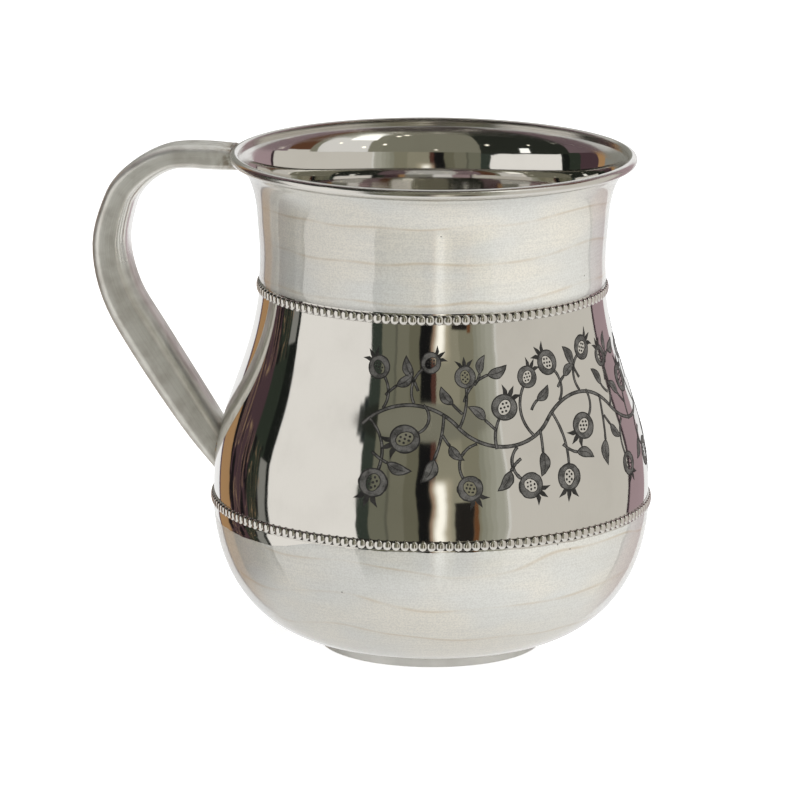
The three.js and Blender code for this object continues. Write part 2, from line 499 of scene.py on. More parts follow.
class Grain(Enum):
    """Which way a surface was rubbed, as the size of one mark along X, Y and Z for a mark of width 1."""

    UPRIGHT = (1, 1, 60)
    ROUND = (60, 60, 1)
    ALONG_TUBE = (160, 1, 1)

    def spot(self, width: float) -> list[float]:
        """The size of one mark of this width."""
        return [width * share for share in self.value]


@dataclass(frozen=True)
class MirrorSteel:
    """Mirror-polished stainless steel with a faint upright grain, and turning marks at its lip."""

    colour: Colour = BARE_STEEL
    dull_colour: Colour = (0.7, 0.685, 0.655)
    dull_share: float = 0.5
    mark_width: float = 0.14 * MM
    mark_depth: float = 0.0009 * MM
    smudge_size: float = 14 * MM
    smudge_span: Span = (0.45, 0.75)
    roughness: float = 0.045
    smudge_roughness: float = 0.05
    lip_roughness: float = 0.3
    lip_fade: float = MM

    def build(self, lip_height: float) -> bpy.types.Material:
        """Makes the material.

        Args:
            lip_height: where the turned lip begins.

        Returns:
            The finished material.
        """
        s = Shader(bpy.data.materials.new("polished_steel"))
        place = s.place()
        at_lip = s.rise(s.axes(place)[2], lip_height, lip_height + self.lip_fade)
        upright = s.noise(place, Grain.UPRIGHT.spot(self.mark_width), 3)
        turning = s.noise(place, Grain.ROUND.spot(self.mark_width), 3)
        marks = upright * (1 - at_lip) + turning * at_lip
        smudges = s.rise(s.noise(place, self.smudge_size, 4), *self.smudge_span)
        dull = (smudges + marks) * self.dull_share
        rough = self.roughness + self.smudge_roughness * smudges * marks
        return s.surface(
            {
                "Base Color": s.mix(dull, self.colour, self.dull_colour),
                "Metallic": 1,
                "Roughness": rough + at_lip * self.lip_roughness * turning,
                "Normal": s.bump(marks, self.mark_depth),
            }
        )


@dataclass(frozen=True)
class PearlLacquer:
    """Off-white pearl lacquer over turned steel, with wavy ochre veins, specks, bare edges and painted
    shade along its lower edge.
    """

    colour: Colour = (0.75, 0.715, 0.625)
    cool_colour: Colour = (0.665, 0.67, 0.635)
    patch_spot: Spot = (30 * MM, 30 * MM, 12 * MM)
    patch_span: Span = (0.35, 0.65)
    mark_colour: Colour = (0.5, 0.49, 0.455)
    mark_width: float = 0.22 * MM
    mark_span: Span = (0.3, 0.7)
    mark_share: float = 0.24
    mark_rise: float = 0.3
    mark_roughness: float = 0.2
    grain_size: float = 0.42 * MM
    grain_span: Span = (0.4, 0.62)
    grain_share: float = 0.42
    grain_depth: float = 0.02 * MM
    contact_shade_colour: Colour = (0.25, 0.245, 0.23)
    contact_shade_depth: float = 1.6 * MM
    contact_shade_share: float = 0.5
    vein_colour: Colour = (0.5, 0.4, 0.27)
    vein_pitch: float = 9.5 * MM
    vein_width: float = 0.06
    vein_wander: float = 0.75
    vein_share: float = 0.5
    wander_spot: Spot = (45 * MM, 45 * MM, 27 * MM)
    fade_size: float = 16 * MM
    fade_span: Span = (0.38, 0.6)
    least_strength: float = 0.2
    shade_rise: Span = (0.2, 0.5)
    shade_fall: Span = (0.5, 0.52)
    shade_share: float = 0.1
    speck_colour: Colour = (0.05, 0.045, 0.04)
    speck_cell: float = 8 * MM
    speck_span: Span = (0.021, 0.035)
    ragged_spot: Spot = (7 * MM, 7 * MM, 40 * MM)
    ragged_level: float = 0.42
    ragged_depth: float = 1.2 * MM
    bare_side: Spot = (-0.766, -0.643, 0)
    bare_span: Span = (0.88, 0.985)
    bare_depth: float = 3 * MM
    upper_fade: float = 0.06 * MM
    lower_fade: float = 0.05 * MM
    bare_roughness: float = 0.06
    roughness: float = 0.38
    metal: float = 0.12
    coat_roughness: float = 0.05
    coat_ior: float = 2.1

    def build(self, name: str, low: float, bare_below: float, bare_from: float) -> bpy.types.Material:
        """Makes the material.

        Args:
            name: the material's name.
            low: the height where the coat begins, just above which shade is painted.
            bare_below: the height below which the steel was left bare.
            bare_from: the height where the coat's ragged upper edge begins.

        Returns:
            The finished material.
        """
        s = Shader(bpy.data.materials.new(name))
        place = s.place()
        height = s.axes(place)[2]
        marks = s.noise(place, Grain.ROUND.spot(self.mark_width), 4)
        grain = s.noise(place, self.grain_size)
        patches = s.rise(s.noise(place, self.patch_spot), *self.patch_span)
        pearl = s.mix(patches, self.cool_colour, self.colour)
        rubbed = s.rise(marks, *self.mark_span) * self.mark_share
        rubbed = rubbed + s.rise(grain, *self.grain_span) * self.grain_share
        pearl = s.mix(rubbed, pearl, self.mark_colour)
        # Painted shade: the lacquer darkens just above its lower edge, where it meets the bead ring or
        # the foot.
        contact_shade = s.fall(height, low, low + self.contact_shade_depth) * self.contact_shade_share
        pearl = s.mix(contact_shade, pearl, self.contact_shade_colour)
        pearl = s.mix(self.veins(s, place, height), pearl, self.vein_colour)
        speck = s.fall(s.cells(place, self.speck_cell), *self.speck_span)
        pearl = s.mix(speck, pearl, self.speck_colour)
        bare = s.maths(
            "MAXIMUM",
            s.rise(height + self.wear(s, place), bare_from, bare_from + self.upper_fade),
            s.fall(height, bare_below - self.lower_fade, bare_below),
        )
        cover = 1 - bare
        rough = self.roughness + (marks - 0.5) * self.mark_roughness
        return s.surface(
            {
                "Base Color": s.mix(bare, pearl, BARE_STEEL),
                "Metallic": self.metal + bare * (1 - self.metal),
                "Roughness": rough * cover + bare * self.bare_roughness,
                "Coat Weight": cover,
                "Coat Roughness": self.coat_roughness,
                "Coat IOR": self.coat_ior,
                "Normal": s.bump((grain + marks * self.mark_rise) * cover, self.grain_depth),
            }
        )

    def veins(self, s: Shader, place: Socket, height: Value) -> Value:
        """How strongly the wavy veins, and the shade that each trails, tint the lacquer.

        Args:
            s: the material's tree.
            place: the surface's place.
            height: its height.

        Returns:
            The tint's share.
        """
        wander = s.noise(place, self.wander_spot, 1) - 0.5
        ramp = s.maths("FRACT", height / self.vein_pitch + wander * (2 * self.vein_wander))
        strength = s.rise(s.noise(place, self.fade_size), *self.fade_span)
        strength = self.least_strength + (1 - self.least_strength) * strength
        vein = s.fall(abs(ramp - 0.5), 0, self.vein_width) * self.vein_share
        shade = s.rise(ramp, *self.shade_rise) * s.fall(ramp, *self.shade_fall) * self.shade_share
        return (vein + shade) * strength

    def wear(self, s: Shader, place: Socket) -> Value:
        """How far the coat's upper edge lies lower than drawn: ragged, and more on one side.

        Args:
            s: the material's tree.
            place: the surface's place.

        Returns:
            The distance.
        """
        ragged = (s.noise(place, self.ragged_spot, 5) - self.ragged_level) * self.ragged_depth
        feeds = {0: place, 1: self.bare_side}
        aside = s.value("ShaderNodeVectorMath", {"operation": "DOT_PRODUCT"}, feeds, "Value")
        return ragged + s.rise(aside / s.radius(place), *self.bare_span) * self.bare_depth


@dataclass(frozen=True)
class BeadSteel:
    """Bright steel beads, with painted shade in the valleys between them."""

    colour: Colour = (0.76, 0.74, 0.71)
    valley_shade_colour: Colour = (0.06, 0.054, 0.048)
    pit_size: float = 0.8 * MM
    pit_depth: float = 0.01 * MM
    pit_roughness: float = 0.06
    wander: float = 0.1 * MM
    edge_span: Span = (1.12 * MM, 1.2 * MM)
    roughness: float = 0.34
    polish: float = 0.27

    def build(self, name: str, middle: float, valley: float, crest: float) -> bpy.types.Material:
        """Makes the material.

        Args:
            name: the material's name.
            middle: the height of the ring's middle.
            valley: how far from the axis the painted shade lies.
            crest: how far from the axis the beads are free of the painted shade.

        Returns:
            The finished material.
        """
        s = Shader(bpy.data.materials.new(name))
        place = s.place()
        pits = s.noise(place, self.pit_size, 3)
        # Painted shade: a dark colour in the valleys between the beads and on the strip, fading out
        # towards the crests and the ring's edges.
        unshaded = s.maths(
            "MAXIMUM",
            s.rise(s.radius(place) + (pits - 0.5) * self.wander, valley, crest),
            s.rise(abs(s.axes(place)[2] - middle), *self.edge_span),
        )
        return s.surface(
            {
                "Base Color": s.mix(unshaded, self.valley_shade_colour, self.colour),
                "Metallic": 1,
                "Roughness": self.roughness - unshaded * self.polish + (pits - 0.5) * self.pit_roughness,
                "Normal": s.bump(pits, self.pit_depth),
            }
        )


@dataclass(frozen=True)
class RubbedSteel:
    """Satin steel rubbed one way, with darker streaks and blotches.

    Where it is asked for, it is bright from a height up, a painted highlight with real polish, or it
    carries a painted highlight along one side of the tube's upper end and bend, or it is tinted by a
    weld's heat.
    """

    colour: Colour
    streak_colour: Colour
    grain: Grain = Grain.ROUND
    attribute: str = ""
    mark_width: float = 0.2 * MM
    mark_depth: float = 0.008 * MM
    mark_share: float = 0.3
    mark_roughness: float = 0.12
    streak_scale: float = 8
    streak_span: Span = (0.35, 0.7)
    streak_share: float = 0.35
    streak_roughness: float = 0.1
    blotch_size: float = 5 * MM
    blotch_span: Span = (0.35, 0.68)
    blotch_share: float = 0.45
    roughness: float = 0.3
    metal: float = 0.6
    highlight_colour: Colour = (0.97, 0.97, 0.95)
    bright_from: float | None = None
    bright_fade: float = 0.1 * MM
    bright_polish: float = 0.7
    highlight_side: Span | None = None
    highlight_length: Span = (54 * MM, 66 * MM)
    highlight_share: float = 0.9
    highlight_polish: float = 0.5
    tint: Colour = (0.3, 0.24, 0.17)
    tint_span: Span | None = None
    tint_spot: float = 1.6 * MM
    tint_spots: Span = (0.35, 0.65)
    tint_share: float = 0.75

    def build(self, name: str) -> bpy.types.Material:
        """Makes the material.

        Args:
            name: the material's name.

        Returns:
            The finished material.
        """
        s = Shader(bpy.data.materials.new(name))
        place = s.place()
        along = s.kept(self.attribute) if self.attribute else place
        marks = s.noise(along, self.grain.spot(self.mark_width), 4)
        streaks = s.noise(along, self.grain.spot(self.mark_width * self.streak_scale), 3)
        streaks = s.rise(streaks, *self.streak_span)
        blotches = s.rise(s.noise(place, self.blotch_size, 4), *self.blotch_span)
        dull = streaks * self.streak_share + blotches * self.blotch_share + marks * self.mark_share
        colour = s.mix(dull, self.colour, self.streak_colour)
        rough = self.roughness + self.streak_roughness * streaks + (marks - 0.5) * self.mark_roughness
        metal = self.metal
        if self.tint_span:
            warm = s.rise(s.axes(place)[0], *self.tint_span)
            spots = s.rise(s.noise(place, self.tint_spot, 3), *self.tint_spots)
            colour = s.mix(warm * spots * self.tint_share, colour, self.tint)
        # Painted highlight with real polish: from the height up the colour turns pale, and the steel
        # turns fully metallic and smoother.
        if self.bright_from is not None:
            bright = s.rise(s.axes(place)[2], self.bright_from, self.bright_from + self.bright_fade)
            colour = s.mix(bright, colour, self.highlight_colour)
            metal = metal + bright * (1 - metal)
            rough = rough * (1 - bright * self.bright_polish)
        # Painted highlight: a pale, smoother stripe along the tube's inner side, from its upper end
        # through the bend.
        if self.highlight_side:
            reached, side, _ = s.axes(along)
            inner_highlight = s.rise(side, *self.highlight_side) * s.fall(reached, *self.highlight_length)
            colour = s.mix(inner_highlight * self.highlight_share, colour, self.highlight_colour)
            rough = rough * (1 - inner_highlight * self.highlight_polish)
        return s.surface(
            {
                "Base Color": colour,
                "Metallic": metal,
                "Roughness": rough,
                "Normal": s.bump(marks, self.mark_depth),
            }
        )


@dataclass(frozen=True)
class WeldSteel:
    """A dressed weld: dull, faintly rippled and discoloured by its heat."""

    colour: Colour = (0.46, 0.45, 0.42)
    straw: Colour = (0.34, 0.28, 0.2)
    straw_span: Span = (0.42, 0.58)
    blue: Colour = (0.2, 0.2, 0.21)
    blue_span: Span = (0.6, 0.7)
    heat_size: float = 2.4 * MM
    grit_size: float = 0.25 * MM
    grit_depth: float = 0.03 * MM
    grit_roughness: float = 0.25
    roughness: float = 0.32

    def build(self) -> bpy.types.Material:
        """Makes the material.

        Returns:
            The finished material.
        """
        s = Shader(bpy.data.materials.new("welded_steel"))
        place = s.place()
        heat = s.noise(place, self.heat_size, 3)
        grit = s.noise(place, self.grit_size, 3)
        warm = s.mix(s.rise(heat, *self.straw_span), self.colour, self.straw)
        return s.surface(
            {
                "Base Color": s.mix(s.rise(heat, *self.blue_span), warm, self.blue),
                "Metallic": 1,
                "Roughness": self.roughness + grit * self.grit_roughness,
                "Normal": s.bump(grit, self.grit_depth),
            }
        )


@dataclass(frozen=True)
class Etching:
    """Steel that acid has dulled and darkened, with a fine stippled grain."""

    colour: Colour
    pale: Colour
    metal: float
    shade_size: float = 2 * MM
    shade_span: Span = (0.35, 0.65)
    shade_share: float = 0.5
    dot_size: float = 0.3 * MM
    dot_depth: float = 0.01 * MM
    dot_level: float = 0.35
    dot_share: float = 1.2
    dot_roughness: float = 0.2
    roughness: float = 0.55
    specular: float = 0.3

    def build(self, name: str) -> bpy.types.Material:
        """Makes the material.

        Args:
            name: the material's name.

        Returns:
            The finished material.
        """
        s = Shader(bpy.data.materials.new(name))
        place = s.place()
        dots = s.noise(place, self.dot_size)
        shade = s.rise(s.noise(place, self.shade_size, 1), *self.shade_span)
        pale = shade * self.shade_share + (dots - self.dot_level) * self.dot_share
        return s.surface(
            {
                "Base Color": s.mix(pale, self.colour, self.pale),
                "Metallic": self.metal,
                "Roughness": self.roughness + (dots - 0.5) * self.dot_roughness,
                "Specular IOR Level": self.specular,
                "Normal": s.bump(dots, self.dot_depth),
            }
        )


def dressed(piece: Piece, slot: str, materials: Sequence[bpy.types.Material], *nodes: str) -> Piece:
    """Gives a piece its materials and hangs it on the model's frame.

    Args:
        piece: the finished piece.
        slot: the record's material slot, not used.
        materials: the materials that it doesn't have yet, in the order of its slots.
        nodes: the solids that it stands for.

    Returns:
        The piece.
    """
    for material in materials:
        piece.data.materials.append(material)
    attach(piece, ROOT)
    if nodes:
        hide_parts(*nodes)
    return piece


class Coat(Enum):
    """The two coats of lacquer."""

    NECK = "neck"
    BOWL = "bowl"


@dataclass
class Vessel:
    """The spun vessel: its outline, its mesh with the rolled lip, and the two coats of lacquer."""

    foot_radius: float
    foot_height: float
    belly_radius: float
    top: float
    wall: float = 0.9 * MM
    bowl_rise: float = 39.05 * MM
    band_rise: float = 61 * MM
    throat_rise: float = 11 * MM
    waist_radius: float = 44.6 * MM
    neck_radius: float = 45.3 * MM
    lip_radius: float = 52.75 * MM
    roll_radius: float = 1.25 * MM
    bowl_floor_share: float = 0.14
    bowl_side_share: float = 0.88
    band_lower_share: float = 0.4
    band_upper_share: float = 0.475
    throat_parts: int = 3
    flare_neck_share: float = 0.55
    flare_lip_share: float = 0.5
    line_steps: tuple[int, int, int, int] = (36, 44, 8, 24)
    roll_shares: Span = (-0.5, 0.8)
    roll_steps: int = 20
    flank_steps: int = 8
    form_rise: float = 10 * MM
    lip_marks: float = 2 * MM
    coat_thickness: float = 0.3 * MM
    coat_seat: float = 0.01 * MM
    coat_edge: float = 0.6 * MM
    coat_least: float = 0.15
    bare_foot: float = 1.1 * MM
    line: list[Vector] = field(init=False)

    def __post_init__(self) -> None:
        """Works out the steel's outer line, from the foot up to the lip's underside."""
        self.bottom = Vector((self.foot_radius, self.foot_height))
        self.belly = Vector((self.belly_radius, self.bottom.y + self.bowl_rise))
        self.waist = Vector((self.waist_radius, self.belly.y + self.band_rise))
        self.neck = Vector((self.neck_radius, self.waist.y + self.throat_rise))
        self.roll = Vector((self.lip_radius - self.roll_radius, self.top - self.roll_radius))
        lip = self.on_roll(self.roll_shares[0])
        bowl, band, flare = self.belly - self.bottom, self.waist - self.belly, lip - self.neck
        throat = (self.neck - self.waist).normalized()
        pull = self.throat_rise / self.throat_parts
        arms = (
            ((bowl.x * self.bowl_floor_share, 0), (0, bowl.y * self.bowl_side_share)),
            ((0, band.y * self.band_lower_share), (0, band.y * self.band_upper_share)),
            ((0, pull), throat * pull),
            (throat * (flare.y * self.flare_neck_share), (flare.x * self.flare_lip_share, 0)),
        )
        knots = (self.bottom, self.belly, self.waist, self.neck, lip)
        self.line = [self.bottom]
        for start, end, (leaving, arriving), steps in zip(knots, knots[1:], arms, self.line_steps):
            self.line += curved(start, end, Vector(leaving), Vector(arriving), steps)[1:]

    def on_roll(self, share: float) -> Vector:
        """A point on the rolled lip's round, at a share of a half turn."""
        angle = share * math.pi
        return self.roll + Vector((math.cos(angle), math.sin(angle))) * self.roll_radius

    def radius_at(self, height: float) -> float:
        """How far the steel reaches from the axis at a height.

        Args:
            height: the height, where above the roll's middle the lip counts as drawn straight up.

        Returns:
            The outer radius there.
        """
        if height < self.line[-1].y:
            return at_height(self.line, height).x
        drop = max(0, self.roll.y - height)
        return self.roll.x + math.sqrt(self.roll_radius**2 - drop**2)

    def shell(self) -> Piece:
        """The vessel itself, with its wall, its floor and its rolled lip.

        Returns:
            The closed mesh.
        """
        start, end = self.roll_shares
        steps = self.roll_steps
        roll = [self.on_roll(start + (end - start) * i / steps) for i in range(1, steps + 1)]
        inside = moved(self.line[:-1], -self.wall)[::-1]
        ends = Vector((0, self.bottom.y)), Vector((0, inside[-1].y))
        return turned("vessel", [ends[0], *self.line, *roll, *inside, ends[1]])

    def form(self) -> Piece:
        """The vessel's outer form without its hollow, which the handle and the branch are fitted to.

        Returns:
            A helper mesh, to be discarded.
        """
        over = self.top + self.form_rise
        start, steps = self.roll_shares[0], self.flank_steps
        flank = [self.on_roll(start * (1 - i / steps)) for i in range(1, steps + 1)]
        ends = Vector((self.lip_radius, over)), Vector((0, over))
        return turned("form", [Vector((0, 0)), *self.line, *flank, *ends])

    def coat(self, name: str, low: float, high: float) -> Piece:
        """A coat of lacquer on a stretch of the steel, thinning out at its edges.

        Args:
            name: the new object's name.
            low: the height where it starts.
            high: the height where it ends.

        Returns:
            The closed mesh.
        """
        steel = stretch(self.line, low, high)
        inner = moved(steel, self.coat_seat)
        full = moved(steel, self.coat_thickness)
        outer = []
        for bare, covered in zip(inner, full):
            depth = min(bare.y - steel[0].y, steel[-1].y - bare.y) / self.coat_edge
            share = max(self.coat_least, min(1, depth))
            outer.append(bare.lerp(covered, math.sin(share * math.pi / 2)))
        return turned(name, [*outer, *inner[::-1], outer[0]])

    def add(self, coats: dict[Coat, Span]) -> list[Piece]:
        """Builds and dresses the shell and the coats. Only the bowl's coat has bare edges.

        Args:
            coats: the heights where each coat starts and ends.

        Returns:
            The finished pieces.
        """
        mirror = MirrorSteel().build(self.line[-1].y - self.lip_marks)
        pieces = [dressed(self.shell(), "polished_steel", [mirror], "cup_shell")]
        for coat, (low, high) in coats.items():
            name = f"{coat.value}_coat"
            bare_below = low + self.bare_foot if coat is Coat.BOWL else 0
            bare_from = high if coat is Coat.BOWL else 2 * self.top
            lacquer = PearlLacquer().build(f"{name}_lacquer", low, bare_below, bare_from)
            skin = self.coat(name, low, high)
            pieces.append(dressed(skin, "pearl_lacquer", [lacquer], f"{coat.value}_lacquer"))
        return pieces


class Row(Enum):
    """The two beaded rings, from the top down."""

    UPPER = "upper"
    LOWER = "lower"


@dataclass
class BeadRing:
    """A row of beads on a flat strip that is pressed round the steel."""

    vessel: Vessel
    row: Row
    height: float
    pitch: float = 2.26 * MM
    rise: float = 0.56 * MM
    bead_width_share: float = 1.06
    bead_height: float = 2.66 * MM
    bead_sides: int = 12
    bead_rings: int = 8
    bead_root: float = 0.1 * MM
    unshaded_share: float = 0.3
    strip_thickness: float = 0.3 * MM
    strip_height: float = 2.4 * MM
    strip_edge: float = 0.12 * MM
    strip_seat: float = 0.02 * MM

    def __post_init__(self) -> None:
        """Finds the ring's middle on the steel, and how far out the strip's front lies."""
        self.middle = at_height(self.vessel.line, self.height)
        self.front = self.middle.x + self.strip_thickness

    def beads(self) -> Piece:
        """The row of beads, modelled as one and copied round the axis.

        Returns:
            The mesh of all beads, which are open at their backs in the strip.
        """
        count = round(math.tau * self.middle.x / self.pitch)
        bead = added(
            "bead",
            bpy.ops.mesh.primitive_uv_sphere_add,
            segments=self.bead_sides,
            ring_count=self.bead_rings,
            radius=1,
            rotation=(0, math.pi / 2, 0),
        )
        settle(bead)
        bead.scale = (self.rise, self.pitch * self.bead_width_share / 2, self.bead_height / 2)
        bead.location = (self.front, 0, self.middle.y)
        settle(bead)
        with editing(bead):
            root = (self.front - self.bead_root, 0, 0)
            bpy.ops.mesh.bisect(plane_co=root, plane_no=(1, 0, 0), clear_inner=True)
            bpy.ops.mesh.select_all(action="SELECT")
            bpy.ops.mesh.spin(
                steps=count - 1,
                angle=math.tau * (count - 1) / count,
                dupli=True,
                center=(0, 0, 0),
                axis=(0, 0, 1),
            )
            face_outwards()
        smoothed(bead)
        return bead

    def strip(self) -> Piece:
        """The flat strip, with its two edges eased.

        Returns:
            The closed mesh.
        """
        half = self.strip_height / 2
        steel = stretch(self.vessel.line, self.height - half, self.height + half)
        inner = moved(steel, self.strip_seat)
        outer = moved(steel, self.strip_thickness)
        low, high = outer[0], outer[-1]
        in_by, up_by = Vector((self.strip_edge, 0)), Vector((0, self.strip_edge))
        face = [point for point in outer if (low + up_by).y < point.y < (high - up_by).y]
        line = [low - in_by, low + up_by, *face, high - up_by, high - in_by, *inner[::-1]]
        return turned("strip", [*line, line[0]])

    def add(self) -> list[Piece]:
        """Builds and dresses the ring.

        Returns:
            The finished piece.
        """
        side = self.row.value
        crest = self.front + self.rise * self.unshaded_share
        steel = BeadSteel().build(f"{side}_bead_steel", self.height, self.front, crest)
        ring = joined(f"{side}_beads", [self.beads(), self.strip()])
        return [dressed(ring, "bead_steel", [steel], f"{side}_bead_ring")]


@dataclass
class Foot:
    """The pressed pan that the cup stands on."""

    radius: float
    height: float
    wall: float = 0.9 * MM
    edge: float = 0.5 * MM
    rib: float = 0.28 * MM
    round_steps: int = 6
    bright_drop: float = 0.62 * MM
    colour: Colour = (0.9, 0.895, 0.865)
    streak_colour: Colour = (0.78, 0.77, 0.735)
    metal: float = 0.12

    def rounded(self, centre: Vector, radius: float, turn: float) -> list[Vector]:
        """Points of an outward round that starts straight below its centre.

        Args:
            centre: its centre.
            radius: its radius.
            turn: how far it goes, in radians.

        Returns:
            The points, from the bottom up.
        """
        angles = [turn * i / self.round_steps for i in range(self.round_steps + 1)]
        return [centre + Vector((math.sin(a), -math.cos(a))) * radius for a in angles]

    def pan(self) -> Piece:
        """The pan, with its lower edge rounded and a fine rib round its rim.

        Returns:
            The closed mesh.
        """
        edge = Vector((self.radius - self.edge, self.edge))
        rib = Vector((self.radius, self.height - self.rib))
        inside = self.radius - self.wall
        line = [
            Vector((0, 0)),
            *self.rounded(edge, self.edge, math.pi / 2),
            *self.rounded(rib, self.rib, math.pi),
            Vector((inside, self.height)),
            Vector((inside, self.wall)),
            Vector((0, self.wall)),
        ]
        return turned("foot_pan", line)

    def add(self) -> list[Piece]:
        """Builds and dresses the foot.

        Returns:
            The finished piece.
        """
        # The pale band at the pan's top rim is a painted highlight with real polish.
        bright_from = self.height - self.bright_drop
        steel = RubbedSteel(
            self.colour, self.streak_colour, metal=self.metal, bright_from=bright_from
        )
        return [dressed(self.pan(), "brushed_steel", [steel.build("brushed_steel")], "foot")]


class Joint(Enum):
    """The two places where the handle is welded on, as the solid of each weld."""

    LIP = "upper_handle_weld"
    BAND = "lower_handle_weld"


@dataclass
class Handle:
    """The bent, flattened tube, cut to the vessel at both ends, and its two welds."""

    vessel: Vessel
    lip_drop: float = 3 * MM
    belly_rise: float = 7 * MM
    reach: float = 31.5 * MM
    thickness: float = 11 * MM
    width: float = 13.4 * MM
    corner_share: float = 0.6
    corner_steps: int = 7
    steps: int = 5
    path_steps: int = 16
    weld_radius: float = 0.5 * MM
    weld_points: int = 24
    weld_steps: int = 3
    weld_smoothing: float = 80
    colour: Colour = (0.86, 0.855, 0.81)
    streak_colour: Colour = (0.5, 0.475, 0.43)
    roughness: float = 0.32
    metal: float = 0.75
    # Where the painted highlight lies across the tube's thickness.
    highlight_side: Span = (1.8 * MM, 2.8 * MM)
    tint_reach: float = 5 * MM
    # Shares of the reach, of the drop, of the greatest thickness and of the greatest width.
    station_shares: tuple[tuple[float, float, float, float], ...] = (
        (-0.3, 0.005, 0.46, 0.93),
        (0.133, 0, 0.58, 1),
        (0.371, -0.001, 0.565, 1),
        (0.533, 0.009, 0.58, 0.99),
        (0.695, 0.042, 0.628, 0.97),
        (0.844, 0.095, 0.69, 0.95),
        (0.938, 0.164, 0.735, 0.93),
        (0.998, 0.307, 0.833, 0.91),
        (0.896, 0.469, 0.912, 0.88),
        (0.631, 0.64, 0.985, 0.85),
        (0.191, 0.889, 0.91, 0.84),
        (-0.124, 1.054, 0.706, 0.78),
    )
    stations: list[Vector] = field(init=False)
    middles: list[Vector] = field(init=False)
    sizes: list[Vector] = field(init=False)

    def __post_init__(self) -> None:
        """Works out the tube's middle line in the plane of the axis, and its size along it."""
        upper = self.vessel.top - self.lip_drop
        lower = self.vessel.belly.y + self.belly_rise
        lip, band = self.vessel.lip_radius, self.vessel.radius_at(lower)
        self.stations = []
        sizes = []
        for out, down, thick, wide in self.station_shares:
            root = lip + (band - lip) * down
            self.stations.append(Vector((-root - out * self.reach, upper + (lower - upper) * down)))
            sizes.append(Vector((self.thickness * thick, self.width * wide)))
        self.middles = self.through(self.stations)
        self.sizes = self.through(sizes)

    @staticmethod
    def arms(points: Sequence[Vector]) -> list[Vector]:
        """How far and which way a smooth curve through some points leaves each of them.

        Args:
            points: the points.

        Returns:
            One arm for each point.
        """
        last = len(points) - 1
        out = []
        # An arm is a third of a step. Inside the curve, two steps lie between the neighbours.
        for i in range(len(points)):
            before, after = points[max(i - 1, 0)], points[min(i + 1, last)]
            out.append((after - before) / (6 if 0 < i < last else 3))
        return out

    def through(self, points: Sequence[Vector]) -> list[Vector]:
        """A smooth curve through some points.

        Args:
            points: the points.

        Returns:
            The curve's points, with as many steps between each two.
        """
        arms = self.arms(points)
        out = [points[0]]
        for i in range(len(points) - 1):
            out += curved(points[i], points[i + 1], arms[i], arms[i + 1], self.steps)[1:]
        return out

    def path(self) -> Piece:
        """The tube's middle line as a flat curve, with its height along Y.

        Returns:
            A helper curve, to be discarded.
        """
        curve = added("handle_path", bpy.ops.curve.primitive_bezier_curve_add)
        curve.data.dimensions = "2D"
        curve.data.resolution_u = self.path_steps
        spline = curve.data.splines[0]
        spline.bezier_points.add(len(self.stations) - len(spline.bezier_points))
        for point, place, arm in zip(spline.bezier_points, self.stations, self.arms(self.stations)):
            point.handle_left_type = point.handle_right_type = "FREE"
            point.co = place.to_3d()
            point.handle_left = (place - arm).to_3d()
            point.handle_right = (place + arm).to_3d()
        return curve

    def bar(self) -> Piece:
        """The tube as a straight bar along X, with its section changing from station to station.

        Returns:
            The closed mesh.
        """
        bar = added("handle", bpy.ops.mesh.primitive_plane_add, size=2, rotation=(0, math.pi / 2, 0))
        settle(bar)
        with editing(bar):
            bpy.ops.mesh.bevel(
                offset=self.corner_share, segments=self.corner_steps, affect="VERTICES"
            )
            bpy.ops.mesh.select_all(action="SELECT")
            size = self.sizes[0]
            bpy.ops.transform.resize(value=(1, size.x / 2, size.y / 2), center_override=(0, 0, 0))
            reached = 0.0
            for here, there, wanted in zip(self.middles, self.middles[1:], self.sizes[1:]):
                step = (there - here).length
                reached += step
                bpy.ops.mesh.extrude_region_move(TRANSFORM_OT_translate={"value": (step, 0, 0)})
                bpy.ops.transform.resize(
                    value=(1, wanted.x / size.x, wanted.y / size.y),
                    center_override=(reached, 0, 0),
                )
                size = wanted
            face_outwards()
        return bar

    def tube(self, form: Piece) -> Piece:
        """Bends the bar along its path and cuts both ends to the vessel.

        Args:
            form: the vessel's outer form.

        Returns:
            The closed mesh, which keeps its places on the straight bar as an attribute.
        """
        bar = self.bar()
        straight = bar.data.attributes.new(STRAIGHT, "FLOAT_VECTOR", "CORNER")
        for loop in bar.data.loops:
            straight.data[loop.index].vector = bar.data.vertices[loop.vertex_index].co
        path = self.path()
        finished(bar, "CURVE", object=path, deform_axis="POS_X")
        discard(path)
        bar.rotation_euler = (math.pi / 2, 0, 0)
        settle(bar)
        with editing(bar):
            face_outwards()
        finished(bar, "BOOLEAN", operation="DIFFERENCE", object=form, solver="EXACT")
        smoothed(bar)
        return bar

    def weld(self, joint: Joint) -> Piece:
        """The bead of weld round one end of the tube.

        Args:
            joint: which end.

        Returns:
            The closed mesh.
        """
        outwards = slice(None, None, 1 if joint is Joint.LIP else -1)
        middles, sizes = self.middles[outwards], self.sizes[outwards]
        angles = [math.tau * i / self.weld_points for i in range(self.weld_points)]
        corner = [self.crossing(middles, sizes, angle) for angle in angles]
        curve = added(f"{joint.name.lower()}_weld", bpy.ops.curve.primitive_bezier_circle_add)
        spline = curve.data.splines[0]
        spline.bezier_points.add(self.weld_points - len(spline.bezier_points))
        for point, place in zip(spline.bezier_points, corner):
            point.co = place
            point.handle_left_type = point.handle_right_type = "AUTO"
        curve.data.resolution_u = self.weld_steps
        curve.data.bevel_depth = self.weld_radius
        curve.data.bevel_resolution = self.weld_steps
        hold(curve)
        bpy.ops.object.convert(target="MESH")
        weld = bpy.context.object
        with editing(weld):
            bpy.ops.mesh.remove_doubles(threshold=MERGE_DISTANCE)
            face_outwards()
        smoothed(weld, self.weld_smoothing)
        return weld

